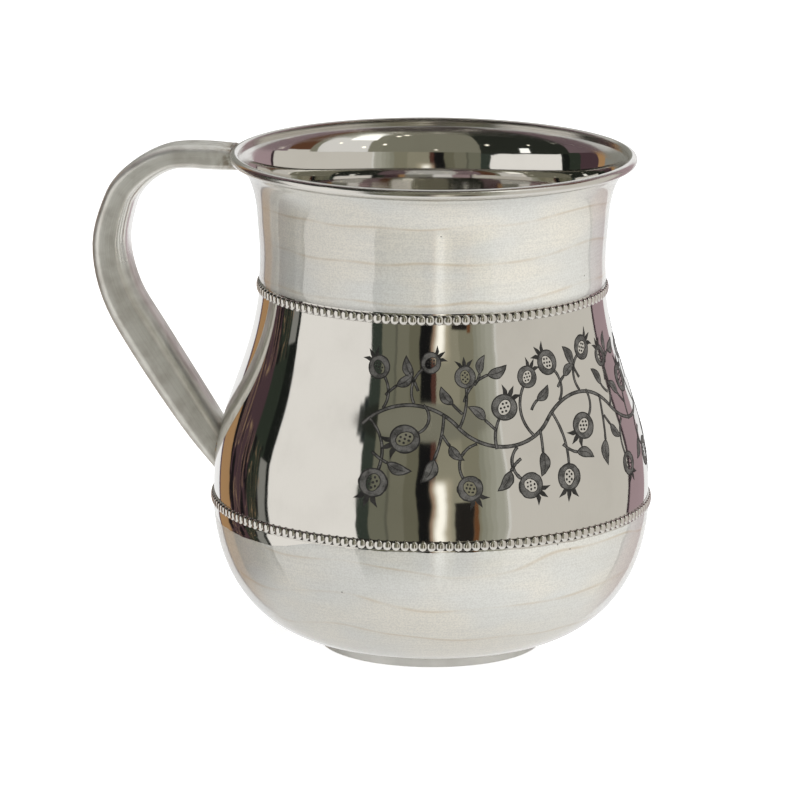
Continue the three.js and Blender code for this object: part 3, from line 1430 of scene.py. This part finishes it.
    def crossing(self, middles: Sequence[Vector], sizes: Sequence[Vector], angle: float) -> Vector:
        """Where one line along the tube's skin comes out of the vessel.

        Args:
            middles: the tube's middle line, from inside the vessel outwards.
            sizes: the tube's thickness and width along it.
            angle: which line, as an angle round the section.

        Returns:
            The point on the vessel's outside.
        """
        last = None
        for i in range(1, len(middles)):
            along = (middles[i] - middles[i - 1]).normalized()
            thick = math.cos(angle) * sizes[i].x / 2
            skin = middles[i] + Vector((-along.y, along.x)) * thick
            point = Vector((skin.x, math.sin(angle) * sizes[i].y / 2, skin.y))
            depth = self.vessel.radius_at(point.z) - math.hypot(point.x, point.y)
            if depth < 0 and last:
                inner, inner_depth = last
                return inner.lerp(point, inner_depth / (inner_depth - depth))
            last = (point, depth)
        return point

    def add(self, form: Piece) -> list[Piece]:
        """Builds and dresses the handle and its welds.

        Args:
            form: the vessel's outer form.

        Returns:
            The finished pieces.
        """
        lip = -self.vessel.lip_radius
        satin = RubbedSteel(
            self.colour,
            self.streak_colour,
            Grain.ALONG_TUBE,
            STRAIGHT,
            roughness=self.roughness,
            metal=self.metal,
            highlight_side=self.highlight_side,
            tint_span=(lip - self.tint_reach, lip),
        )
        tube = dressed(self.tube(form), "satin_steel", [satin.build("satin_steel")], "handle_tube")
        welded = WeldSteel().build()
        welds = [dressed(self.weld(joint), "welded_steel", [welded], joint.value) for joint in Joint]
        return [tube, *welds]


class Growth(Enum):
    """Which way one stretch of the vine bulges, as the sign of its heights."""

    CREST = 1
    TROUGH = -1


@dataclass
class Branch:
    """The etched fruit branch: a scrolling vine with stems, leaves and seeded fruits.

    It is laid out flat, in layers, and then wrapped round the band. Motifs are modelled at size 1.
    """

    line_finish: Etching = Etching((0.01, 0.0095, 0.009), (0.035, 0.033, 0.03), 0)
    fill_finish: Etching = Etching((0.035, 0.034, 0.031), (0.16, 0.154, 0.143), 0.2)
    seed: int = 7
    wrap_radius: float = 50 * MM
    middle: float = 68.5 * MM
    start: float = -8.8 * MM
    cell: float = 24 * MM
    repeats: int = 4
    vine_bend: float = math.radians(104)
    vine_width: float = 1.05 * MM
    stem_width: float = 0.8 * MM
    stem_steps: int = 12
    stem_reach: float = 0.94
    most_bend: float = 2.2
    least_bend: float = 0.01
    outline: float = 0.27 * MM
    outline_share: float = 0.3
    lift: float = 0.012 * MM
    layer: float = 0.006 * MM
    depth: float = 0.02 * MM
    fruit_sides: int = 36
    fruit_outline: float = 0.1
    fruit_wall: float = 0.24
    window_shape: Spot = (0.74, 1, 0.98)
    window_line: float = 0.06
    fill_ring: Span = (0.62, 0.9)
    # Where each leaf of the crown stands on the fruit and how far it leans aside, in degrees.
    crown: tuple[Span, ...] = ((66, 56), (90, 0), (114, -56))
    crown_reach: float = 10.5
    rim_from: float = 0.98
    crown_base: float = 0.3
    crown_taper: float = 0.95
    crown_tip: float = 0.48
    crown_lean: float = 0.55
    seeds: int = 6
    seed_spread: Span = (0.25, 0.37)
    seed_radius: float = 0.088
    seed_sides: int = 8
    leaf_columns: int = 8
    leaf_near: float = 0.01
    leaf_foot: float = 0.07
    leaf_belly: float = 0.45
    leaf_bulge: float = 0.85
    leaf_taper: float = 0.15
    leaf_sway: float = 0.07
    tip_sway: float = 0.12
    leaf_outline: float = 0.046
    leaf_vein: float = 0.035
    leaf_vein_reach: Span = (0.8, 0.012)
    heading_play: float = 8
    place_play: float = 0.4
    fruit_play: Span = (0.92, 1.08)
    round_play: Span = (0.96, 1.04)
    leaf_play: Span = (0.94, 1.08)
    # One repeat's fruits: where the stem starts, the fruit's middle, its radius and heading.
    fruits: tuple[tuple[float, float, float, float, float, float], ...] = (
        (5, 4.7, 3.4, 15.2, 3.3, 128),
        (13, 6.3, 17.6, 16.8, 3.0, 38),
        (15.4, 6, 11.4, -3.2, 3.7, -146),
        (1.8, 1.8, 4.0, -14.9, 3.5, -104),
        (28.5, -4.7, 26.8, -15.9, 3.2, -66),
        (33.4, -6.3, 36.6, 4.4, 3.8, 66),
        (38.6, -6.2, 41.2, -15.9, 3.4, -40),
        (24.4, -0.3, 26.3, 13.2, 3.0, 98),
        (43.6, -3.8, 44.2, 11.8, 2.9, 58),
    )
    # Its leaves: where the stem starts, the leaf's foot, its heading and its length.
    leaves: tuple[tuple[float, float, float, float, float, float], ...] = (
        (5.4, 8.2, 8.2, 10.8, 34, 5.8),
        (14.0, 9.6, 12.4, 13.0, 112, 6.0),
        (3.3, -7.0, 7.2, -9.6, -18, 6.2),
        (20.6, 3.6, 18.2, -8.4, -106, 6.6),
        (20.2, -2.2, 21.9, -5.0, -62, 5.4),
        (33.7, -1.4, 31.0, 1.6, 134, 5.8),
        (39.2, -9.2, 36.4, -12.0, -122, 5.8),
        (25.4, 3.4, 23.0, 6.0, 122, 5.8),
        (43.9, 3.2, 46.0, 5.6, 42, 5.4),
        (25.9, 6.6, 32.6, 13.4, 18, 6.2),
        (28.8, 11.0, 30.4, 13.8, 84, 5.0),
        (45.4, -2.2, 45.2, -8.2, -96, 6.0),
    )

    def __post_init__(self) -> None:
        """Makes the dark line's and the fill's materials, and the seeded dice."""
        self.materials = [self.line_finish.build("etched_line"), self.fill_finish.build("etched_fill")]
        self.dice = random.Random(self.seed)

    @staticmethod
    def turn(heading: float) -> Matrix:
        """The turn in the sheet that brings what points up to a heading in degrees."""
        return Matrix.Rotation(math.radians(90 - heading), 4, "Y")

    @staticmethod
    def on_sheet(place: Vector) -> Matrix:
        """A place on the flat sheet."""
        return Matrix.Translation((place.x, 0, place.y))

    def etched(self, name: str, operator: Callable[..., object], **settings: object) -> Piece:
        """Adds a flat primitive that stands up on the sheet, with the line's and the fill's slots.

        Args:
            name: its name.
            operator: the operator that adds it.
            settings: the operator's settings.

        Returns:
            The new mesh.
        """
        obj = added(name, operator, rotation=(math.pi / 2, 0, 0), **settings)
        for material in self.materials:
            obj.data.materials.append(material)
        return obj

    @staticmethod
    def face_front(obj: Piece) -> None:
        """Turns a flat motif's faces to the front of the sheet.

        Args:
            obj: the motif.
        """
        with editing(obj, Part.FACE):
            mesh = bmesh.from_edit_mesh(obj.data)
            mesh.normal_update()
            for face in mesh.faces:
                face.select_set(face.normal.y > 0)
            bmesh.update_edit_mesh(obj.data)
            bpy.ops.mesh.flip_normals()

    def outlined(self, obj: Piece, width: float) -> None:
        """Gives a flat motif a dark outline and leaves its middle pale.

        Args:
            obj: the motif.
            width: how wide the outline is.
        """
        self.face_front(obj)
        with editing(obj, Part.FACE):
            bpy.ops.mesh.inset(thickness=width, use_boundary=True)
            mesh = bmesh.from_edit_mesh(obj.data)
            for face in mesh.faces:
                face.material_index = 1 if face.select else 0
            bmesh.update_edit_mesh(obj.data)

    def fruit(self) -> Piece:
        """One fruit with its crown up: outline, body, seeds, and a window left open between them.

        Returns:
            The flat motif.
        """
        circle = bpy.ops.mesh.primitive_circle_add
        fruit = self.etched("fruit", circle, vertices=self.fruit_sides, radius=1, fill_type="NGON")
        settle(fruit)
        with editing(fruit, Part.FACE):
            bpy.ops.mesh.inset(thickness=self.fruit_outline)
            bpy.ops.mesh.inset(thickness=self.fruit_wall)
            bpy.ops.transform.resize(value=self.window_shape)
            bpy.ops.mesh.inset(thickness=self.window_line)
            bpy.ops.mesh.delete(type="FACE")
        for middle, lean in self.crown:
            with editing(fruit, Part.EDGE):
                pick(fruit, Part.EDGE, lambda place: self.on_rim(place, middle))
                self.grow(lean * self.crown_lean, self.crown_base)
                bpy.ops.transform.resize(value=(self.crown_taper, 1, self.crown_taper))
                self.grow(lean, self.crown_tip)
                bpy.ops.mesh.merge(type="CENTER")
        spots = [Vector((0, 0, 0))]
        for i in range(self.seeds):
            angle = math.tau * (i + 0.5) / self.seeds
            wide, tall = self.seed_spread
            spots.append(Vector((wide * math.cos(angle), 0, tall * math.sin(angle))))
        dot = {"vertices": self.seed_sides, "radius": self.seed_radius, "fill_type": "NGON"}
        seeds = [self.etched("seed", circle, location=spot, **dot) for spot in spots]
        fruit = joined("fruit", [fruit, *seeds])
        self.face_front(fruit)
        inner, outer = self.fill_ring
        for face in fruit.data.polygons:
            face.material_index = int(inner < face.center.length < outer)
        return fruit

    def on_rim(self, place: Vector, middle: float) -> bool:
        """Says whether an edge of the fruit's rim is one of the two at this angle."""
        angle = math.degrees(math.atan2(place.z, place.x))
        return place.length > self.rim_from and abs(angle - middle) < self.crown_reach

    @staticmethod
    def grow(lean: float, length: float) -> None:
        """Extrudes what is selected upwards, leaning aside by some degrees."""
        along = math.radians(90 - lean)
        out = Vector((math.cos(along), 0, math.sin(along))) * length
        bpy.ops.mesh.extrude_region_move(TRANSFORM_OT_translate={"value": out})

    def leaf(self) -> Piece:
        """One leaf with its tip up and drawn to one side, and a dark middle vein.

        Returns:
            The flat motif.
        """
        grid = bpy.ops.mesh.primitive_grid_add
        leaf = self.etched("leaf", grid, x_subdivisions=2, y_subdivisions=self.leaf_columns, size=1)
        leaf.location.z = 0.5
        settle(leaf)
        with editing(leaf, Part.EDGE):
            pick(leaf, Part.EDGE, lambda place: abs(place.x) < self.leaf_near)
            bpy.ops.mesh.bevel(offset=self.leaf_vein, affect="EDGES")
        with editing(leaf):
            for i in range(self.leaf_columns + 1):
                share = i / self.leaf_columns
                width = (self.half_width(share), 1, 1)
                pick(leaf, Part.VERTEX, lambda place: abs(place.z - share) < self.leaf_near)
                bpy.ops.transform.resize(value=width, center_override=(0, 0, share))
                bpy.ops.transform.translate(value=(self.sway(share), 0, 0))
            pick(leaf, Part.VERTEX, lambda place: place.z > 1 - self.leaf_near)
            bpy.ops.mesh.merge(type="CENTER")
        self.outlined(leaf, self.leaf_outline)
        vein_end, vein_half = self.leaf_vein_reach
        for face in leaf.data.polygons:
            place = face.center
            if place.z < vein_end and abs(place.x - self.sway(place.z)) < vein_half:
                face.material_index = 0
        return leaf

    def half_width(self, share: float) -> float:
        """How wide a leaf is to each side at a share of its length."""
        bulge = self.leaf_belly * math.sin(math.pi * share**self.leaf_bulge)
        return self.leaf_foot + bulge * (1 - self.leaf_taper * share)

    def sway(self, share: float) -> float:
        """How far to one side the middle of a leaf lies at a share of its length."""
        return self.leaf_sway * math.sin(math.pi * share) - self.tip_sway * share**4

    def ribbon(self) -> Piece:
        """A straight stem of width 1, from its foot up.

        Returns:
            The flat motif.
        """
        grid = bpy.ops.mesh.primitive_grid_add
        ribbon = self.etched("ribbon", grid, x_subdivisions=1, y_subdivisions=self.stem_steps, size=1)
        ribbon.location.z = 0.5
        settle(ribbon)
        with editing(ribbon, Part.FACE):
            bpy.ops.mesh.subdivide()
        self.face_front(ribbon)
        return ribbon

    def arc(self, ribbon: Piece, start: Vector, end: Vector, bend: float, width: float) -> Piece:
        """A stem along a round arc.

        Args:
            ribbon: the straight stem that is copied.
            start: where it starts on the sheet.
            end: where it ends.
            bend: how far it turns to the left on its way, in radians.
            width: how wide it is.

        Returns:
            The stem in its place.
        """
        chord = end - start
        length = chord.length
        if abs(bend) > self.least_bend:
            length *= (bend / 2) / math.sin(bend / 2)
        stem = copied(ribbon, Matrix.Diagonal((width, 1, length, 1)))
        settle(stem)
        self.outlined(stem, min(self.outline, width * self.outline_share))
        if abs(bend) > self.least_bend:
            finished(stem, "SIMPLE_DEFORM", deform_method="BEND", deform_axis="Y", angle=-bend)
        heading = math.degrees(math.atan2(chord.y, chord.x) - bend / 2)
        stem.matrix_world = self.on_sheet(start) @ self.turn(heading)
        settle(stem)
        return stem

    def stem(self, ribbon: Piece, start: Vector, end: Vector, heading: float) -> Piece:
        """A thin stem that reaches its end at a heading.

        Args:
            ribbon: the straight stem that is copied.
            start: where it starts on the sheet.
            end: where it ends.
            heading: which way it points there, in degrees.

        Returns:
            The stem in its place.
        """
        chord = end - start
        turn = math.radians(heading) - math.atan2(chord.y, chord.x)
        turn = (turn + math.pi) % math.tau - math.pi
        bend = max(-self.most_bend, min(self.most_bend, 2 * turn))
        return self.arc(ribbon, start, end, bend, self.stem_width)

    def played(self, heading: float) -> float:
        """A heading with a little chance in it."""
        return heading + self.dice.uniform(-self.heading_play, self.heading_play)

    def layers(self) -> list[list[Piece]]:
        """Everything on the flat sheet.

        Returns:
            The layers from the steel outwards: vine, stems, leaves and fruits.
        """
        ribbon, leaf, fruit = self.ribbon(), self.leaf(), self.fruit()
        vine, stems, leaves, fruits = [], [], [], []
        for i in range(self.repeats):
            origin = Vector((self.start + i * 2 * self.cell, self.middle))
            for growth in Growth:
                left = origin + Vector((0 if growth is Growth.CREST else self.cell, 0))
                right = left + Vector((self.cell, 0))
                bend = -self.vine_bend * growth.value
                vine.append(self.arc(ribbon, left, right, bend, self.vine_width))
            for x, y, to_x, to_y, radius, heading in self.fruits:
                heading = self.played(heading)
                spot = [v + self.dice.uniform(-self.place_play, self.place_play) for v in (to_x, to_y)]
                middle = origin + Vector(spot) * MM
                radius *= MM * self.dice.uniform(*self.fruit_play)
                facing = Vector((math.cos(math.radians(heading)), math.sin(math.radians(heading))))
                foot = origin + Vector((x, y)) * MM
                end = middle - facing * radius * self.stem_reach
                stems.append(self.stem(ribbon, foot, end, heading))
                size = Matrix.Diagonal((radius, 1, radius * self.dice.uniform(*self.round_play), 1))
                fruits.append(copied(fruit, self.on_sheet(middle) @ self.turn(heading) @ size))
            for x, y, to_x, to_y, heading, length in self.leaves:
                heading = self.played(heading)
                foot, end = (origin + Vector(place) * MM for place in ((x, y), (to_x, to_y)))
                length *= MM * self.dice.uniform(*self.leaf_play)
                stems.append(self.stem(ribbon, foot, end, heading))
                size = Matrix.Diagonal((length * self.dice.choice((-1, 1)), 1, length, 1))
                leaves.append(copied(leaf, self.on_sheet(end) @ self.turn(heading) @ size))
        discard(ribbon, leaf, fruit)
        return [vine, stems, leaves, fruits]

    def wrapped(self, form: Piece) -> Piece:
        """Wraps the flat sheet round the band and gives it its slight depth.

        Args:
            form: the vessel's outer form, which the sheet is pressed on.

        Returns:
            The mesh of the whole branch.
        """
        sheets = []
        for i, layer in enumerate(self.layers()):
            sheet = joined(f"layer_{i}", layer)
            self.face_front(sheet)
            across = [v.co.x for v in sheet.data.vertices]
            angle = (max(across) - min(across)) / self.wrap_radius
            finished(sheet, "SIMPLE_DEFORM", deform_method="BEND", deform_axis="Z", angle=angle)
            sheet.location.y = -self.wrap_radius
            settle(sheet)
            finished(
                sheet,
                "SHRINKWRAP",
                target=form,
                wrap_method="NEAREST_SURFACEPOINT",
                wrap_mode="ABOVE_SURFACE",
                offset=self.lift + self.layer * i,
            )
            finished(sheet, "SOLIDIFY", thickness=self.depth, offset=1)
            sheets.append(sheet)
        return joined("etched_branch", sheets)

    def add(self, form: Piece) -> list[Piece]:
        """Builds and dresses the branch, which wears its own materials.

        Args:
            form: the vessel's outer form.

        Returns:
            The finished piece.
        """
        return [dressed(self.wrapped(form), "polished_steel", [])]


@dataclass(frozen=True)
class Card:
    """One thing that stands in the room: its sides in degrees to the right, its edges and colour."""

    left: float
    right: float
    low: float
    high: float
    colour: Colour
    blur: float = 1


@dataclass(frozen=True)
class Surround:
    """The room round the cup: white to the eye, cards to a mirror, even light to all else."""

    facing: float
    white: Colour = (1, 1, 1)
    ambient: float = 0.36
    # Where each strip of wall starts, in degrees to the right of the camera, and its colour.
    walls: tuple[tuple[float, Colour], ...] = (
        (-180, (0.95, 0.95, 0.95)),
        (-153, (0.12, 0.07, 0.09)),
        (-149.5, (0.42, 0.25, 0.12)),
        (-134, (0.075, 0.045, 0.052)),
        (-115, (0.03, 0.038, 0.028)),
        (-104, (0.012, 0.014, 0.012)),
        (-96, (0.92, 0.9, 0.86)),
        (-40, (0.04, 0.05, 0.04)),
        (-33, (0.17, 0.17, 0.125)),
        (-24, (0.12, 0.12, 0.09)),
        (-22.5, (0.19, 0.185, 0.135)),
        (-15, (0.15, 0.145, 0.1)),
        (-7.5, (0.01, 0.01, 0.01)),
        (0, (0.09, 0.04, 0.03)),
        (1.5, (0.3, 0.285, 0.21)),
        (16, (0.24, 0.23, 0.165)),
        (26, (0.28, 0.28, 0.22)),
        (29, (0.33, 0.33, 0.265)),
        (32, (0.37, 0.37, 0.305)),
        (35, (0.42, 0.42, 0.355)),
        (38, (0.48, 0.475, 0.415)),
        (40.5, (0.74, 0.735, 0.69)),
        (42, (0.66, 0.635, 0.58)),
        (127, (0.05, 0.035, 0.04)),
        (130, (0.4, 0.3, 0.32)),
        (154, (0.95, 0.95, 0.95)),
    )
    cards: tuple[Card, ...] = (
        Card(-180, -142, 0.02, 0.42, (0.26, 0.26, 0.23)),
        Card(-104, -98, -1, 0.05, (0.25, 0.25, 0.23)),
        Card(1, 4, -1, 0.2, (0.3, 0.15, 0.09), 3),
        Card(3.5, 13, -1, 0.25, (0.5, 0.45, 0.33), 9),
        Card(4.5, 9.5, -1, 0.22, (1.3, 1.27, 1.15), 7),
        Card(13, 23, -1, 0.02, (0.02, 0.018, 0.016)),
        Card(23, 25.5, -1, 0.04, (0.16, 0.07, 0.03)),
        Card(-42, -39, 0.37, 0.5, (0.02, 0.026, 0.024)),
        Card(-44.5, -42, 0.385, 0.5, (0.02, 0.026, 0.024)),
        Card(-180, -142, 0.42, 2, (0.6, 0.6, 0.58)),
        Card(-142, -104, 0.42, 2, (0.16, 0.115, 0.125)),
        Card(-104, -32, 0.4, 2, (0.025, 0.028, 0.022)),
        Card(-32, 36, 0.42, 2, (0.22, 0.215, 0.165)),
        Card(36, 92, 0.42, 2, (0.24, 0.235, 0.18)),
        Card(46, 86, 0.42, 0.78, (0.8, 0.79, 0.76)),
        Card(92, 114, 0.46, 2, (0.12, 0.055, 0.03)),
        Card(114, 150, 0.42, 2, (0.24, 0.18, 0.195)),
        Card(150, 180, 0.42, 2, (0.6, 0.6, 0.58)),
        Card(44, 66, 0.7, 0.88, (1.6, 1.6, 1.5)),
        Card(-70, -62, 0.42, 0.52, (1.4, 1.4, 1.35)),
        Card(-180, 180, 0.94, 2, (0.07, 0.06, 0.055)),
    )
    card_edge: float = 0.0015
    card_lip: float = 0.012
    waver: float = 0.014
    waver_spot: Spot = (0.3, 0.3, 0.25)
    tangle: Card = Card(-136, -103, -1, 0.1, (0.012, 0.01, 0.011))
    tangle_spot: Spot = (0.05, 0.05, 0.3)
    tangle_span: Span = (0.52, 0.56)
    twig_colour: Colour = (0.3, 0.2, 0.12)
    twig_level: float = 0.44
    twig_span: Span = (0.004, 0.02)
    spot_cell: float = 0.2
    spot_span: Span = (0.096, 0.12)
    spots_from: float = 0.45
    spot_colour: Colour = (2.2, 2.1, 1.8)
    ground: Colour = (0.85, 0.84, 0.81)
    ground_span: Span = (-0.68, -0.42)

    def build(self) -> None:
        """Fills the scene's world."""
        world = bpy.data.worlds.new("studio")
        bpy.context.scene.world = world
        world.cycles.sampling_method = "NONE"
        s = Shader(world)
        path = s.node("ShaderNodeLightPath", {}, {}).outputs
        mirrored = s.maths("MAXIMUM", path["Is Glossy Ray"], path["Is Transmission Ray"])
        colour = s.mix(mirrored, (self.ambient,) * 3, self.room(s))
        colour = s.mix(path["Is Camera Ray"], colour, self.white)
        light = s.node("ShaderNodeBackground", {}, {"Color": colour, "Strength": 1}).outputs[0]
        s.node("ShaderNodeOutputWorld", {}, {"Surface": light})

    def room(self, s: Shader) -> Socket:
        """What the steel mirrors: walls, the cards before them, small lights and the ground.

        Args:
            s: the world's tree.

        Returns:
            The room's colour along a ray.
        """
        ray = s.node("ShaderNodeTexCoord", {}, {}).outputs["Generated"]
        x, y, z = s.axes(ray)
        wave = (s.noise(ray, self.waver_spot) - 0.5) * self.waver
        turn = s.maths("ARCTAN2", x, 0 - y) / math.tau + (0.5 - self.facing / math.tau)
        share = s.maths("FRACT", turn + wave)
        level = z + wave * 2
        stops = [(degrees / 360 + 0.5, colour) for degrees, colour in self.walls]
        room = s.node("ShaderNodeValToRGB", {"stops": stops}, {0: share}).outputs[0]
        for card in self.cards:
            room = s.mix(self.cover(s, card, share, level), room, card.colour)
        tangled = self.cover(s, self.tangle, share, level)
        blots = s.rise(s.noise(ray, self.tangle_spot, 3), *self.tangle_span)
        room = s.mix(tangled * blots, room, self.tangle.colour)
        twigs = s.fall(abs(s.noise(ray, self.tangle_spot, 1) - self.twig_level), *self.twig_span)
        room = s.mix(tangled * twigs, room, self.twig_colour)
        spots = s.fall(s.cells(ray, self.spot_cell), *self.spot_span)
        overhead = s.rise(z, self.spots_from, self.spots_from + self.card_lip)
        room = s.mix(spots * overhead, room, self.spot_colour)
        return s.mix(s.fall(z, *self.ground_span), room, self.ground)

    def cover(self, s: Shader, card: Card, share: Value, level: Value) -> Value:
        """Where one card covers the room.

        Args:
            s: the world's tree.
            card: the card.
            share: how far round a ray goes, as a share of a turn.
            level: how high it goes.

        Returns:
            1 on the card and 0 beside it.
        """
        left, right = card.left / 360 + 0.5, card.right / 360 + 0.5
        edge, lip = self.card_edge * card.blur, self.card_lip * card.blur
        across = s.rise(share, left - edge, left) * s.fall(share, right - edge, right)
        upright = s.rise(level, card.low - lip, card.low) * s.fall(level, card.high - lip, card.high)
        return across * upright


@dataclass(frozen=True)
class Studio:
    """The floor, the lamps and the camera."""

    camera_distance: float = 1.6
    camera_azimuth: float = math.radians(10)
    camera_elevation: float = math.radians(12.79)
    camera_roll: float = math.radians(0.34)
    camera_reach: Span = (0.05, 20)
    lens: float = 276.1
    sensor: float = 36
    target_height: float = 65 * MM
    aim_left: float = 8.27 * MM
    aim_lower: float = 0.68 * MM
    floor_size: float = 4
    floor_glow: float = 0.75
    floor_colour: Colour = (0.8, 0.8, 0.8)
    # Each lamp's place to the right of the camera's line, along it and up, its size and its watts.
    lamps: tuple[tuple[str, Spot, float, float], ...] = (
        ("key", (0.85, -0.75, 1.0), 0.7, 13.5),
        ("top", (0.1, 0.35, 1.3), 0.8, 7),
        ("front", (0.1, -1.4, 0.12), 0.9, 7),
    )

    def add(self) -> None:
        """Makes the floor, the lamps, the surround and the camera."""
        Surround(self.camera_azimuth).build()
        self.floor()
        for name, place, size, power in self.lamps:
            self.lamp(name, place, size, power)
        self.camera()
        bpy.context.scene.view_settings.view_transform = "Standard"

    def floor(self) -> None:
        """A plain pale floor that keeps the cup's soft shadow, and that a mirror doesn't show."""
        floor = added("floor", bpy.ops.mesh.primitive_plane_add, size=self.floor_size)
        s = Shader(bpy.data.materials.new("floor"))
        path = s.node("ShaderNodeLightPath", {}, {}).outputs
        paint = s.node("ShaderNodeBsdfDiffuse", {}, {"Color": self.floor_colour}).outputs[0]
        feeds = {"Color": (1, 1, 1), "Strength": self.floor_glow}
        glow = s.node("ShaderNodeEmission", {}, feeds).outputs[0]
        seen = s.node("ShaderNodeAddShader", {}, {0: paint, 1: glow}).outputs[0]
        clear = s.node("ShaderNodeBsdfTransparent", {}, {}).outputs[0]
        feeds = {0: path["Is Camera Ray"], 1: paint, 2: seen}
        shown = s.node("ShaderNodeMixShader", {}, feeds).outputs[0]
        feeds = {0: path["Is Glossy Ray"], 1: shown, 2: clear}
        whole = s.node("ShaderNodeMixShader", {}, feeds).outputs[0]
        s.node("ShaderNodeOutputMaterial", {}, {"Surface": whole})
        floor.data.materials.append(s.holder)

    def lamp(self, name: str, place: Spot, size: float, power: float) -> None:
        """A soft square lamp that faces the cup and isn't mirrored in it.

        Args:
            name: the lamp's name.
            place: where it stands, to the right of the camera's line, along it, and up.
            size: how wide it is.
            power: its power in watts.
        """
        spot = Matrix.Rotation(self.camera_azimuth, 4, "Z") @ Vector(place)
        lamp = added(name, bpy.ops.object.light_add, type="AREA", location=spot)
        lamp.data.size = size
        lamp.data.energy = power
        lamp.rotation_euler = (-spot).to_track_quat("-Z", "Y").to_euler()
        lamp.visible_glossy = False

    def camera(self) -> None:
        """The camera at the photograph's angle, aimed a little aside as the photograph is."""
        level, up = math.cos(self.camera_elevation), math.sin(self.camera_elevation)
        turn = Matrix.Rotation(self.camera_azimuth, 4, "Z")
        target = Vector((0, 0, self.target_height))
        place = target + turn @ Vector((0, -level, up)) * self.camera_distance
        aim = target - turn @ Vector((self.aim_left, up * self.aim_lower, level * self.aim_lower))
        camera = added("camera", bpy.ops.object.camera_add, location=place)
        camera.data.lens = self.lens
        camera.data.sensor_width = self.sensor
        camera.data.clip_start, camera.data.clip_end = self.camera_reach
        look = (aim - place).to_track_quat("-Z", "Y").to_matrix().to_4x4()
        roll = Matrix.Rotation(self.camera_roll, 4, "Z")
        camera.matrix_world = Matrix.Translation(place) @ look @ roll
        bpy.context.scene.camera = camera


def report(pieces: Sequence[Piece]) -> None:
    """Reports the pieces of a sub-assembly."""
    for piece in pieces:
        log.info("%s: %d faces", piece.name, len(piece.data.polygons))


def main() -> None:
    """Builds the cup from its foot to its handle, dresses it, and sets it in the studio."""
    logging.basicConfig(level=logging.INFO, format="%(message)s")
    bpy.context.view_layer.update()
    _, foot_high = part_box("foot")
    shell_low, shell_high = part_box("cup_shell")
    upper_low, upper_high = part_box("upper_bead_ring")
    lower_low, lower_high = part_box("lower_bead_ring")
    neck_low, neck_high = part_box("neck_lacquer")
    bowl_low, bowl_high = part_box("bowl_lacquer")
    coats = {Coat.NECK: (neck_low.z, neck_high.z), Coat.BOWL: (bowl_low.z, bowl_high.z)}
    vessel = Vessel(foot_high.x, shell_low.z, shell_high.x, shell_high.z)
    report(Foot(foot_high.x, foot_high.z).add())
    report(vessel.add(coats))
    report(BeadRing(vessel, Row.UPPER, (upper_low.z + upper_high.z) / 2).add())
    report(BeadRing(vessel, Row.LOWER, (lower_low.z + lower_high.z) / 2).add())
    form = vessel.form()
    report(Handle(vessel).add(form))
    report(Branch().add(form))
    discard(form)
    Studio().add()


if __name__ == "__main__":
    main()
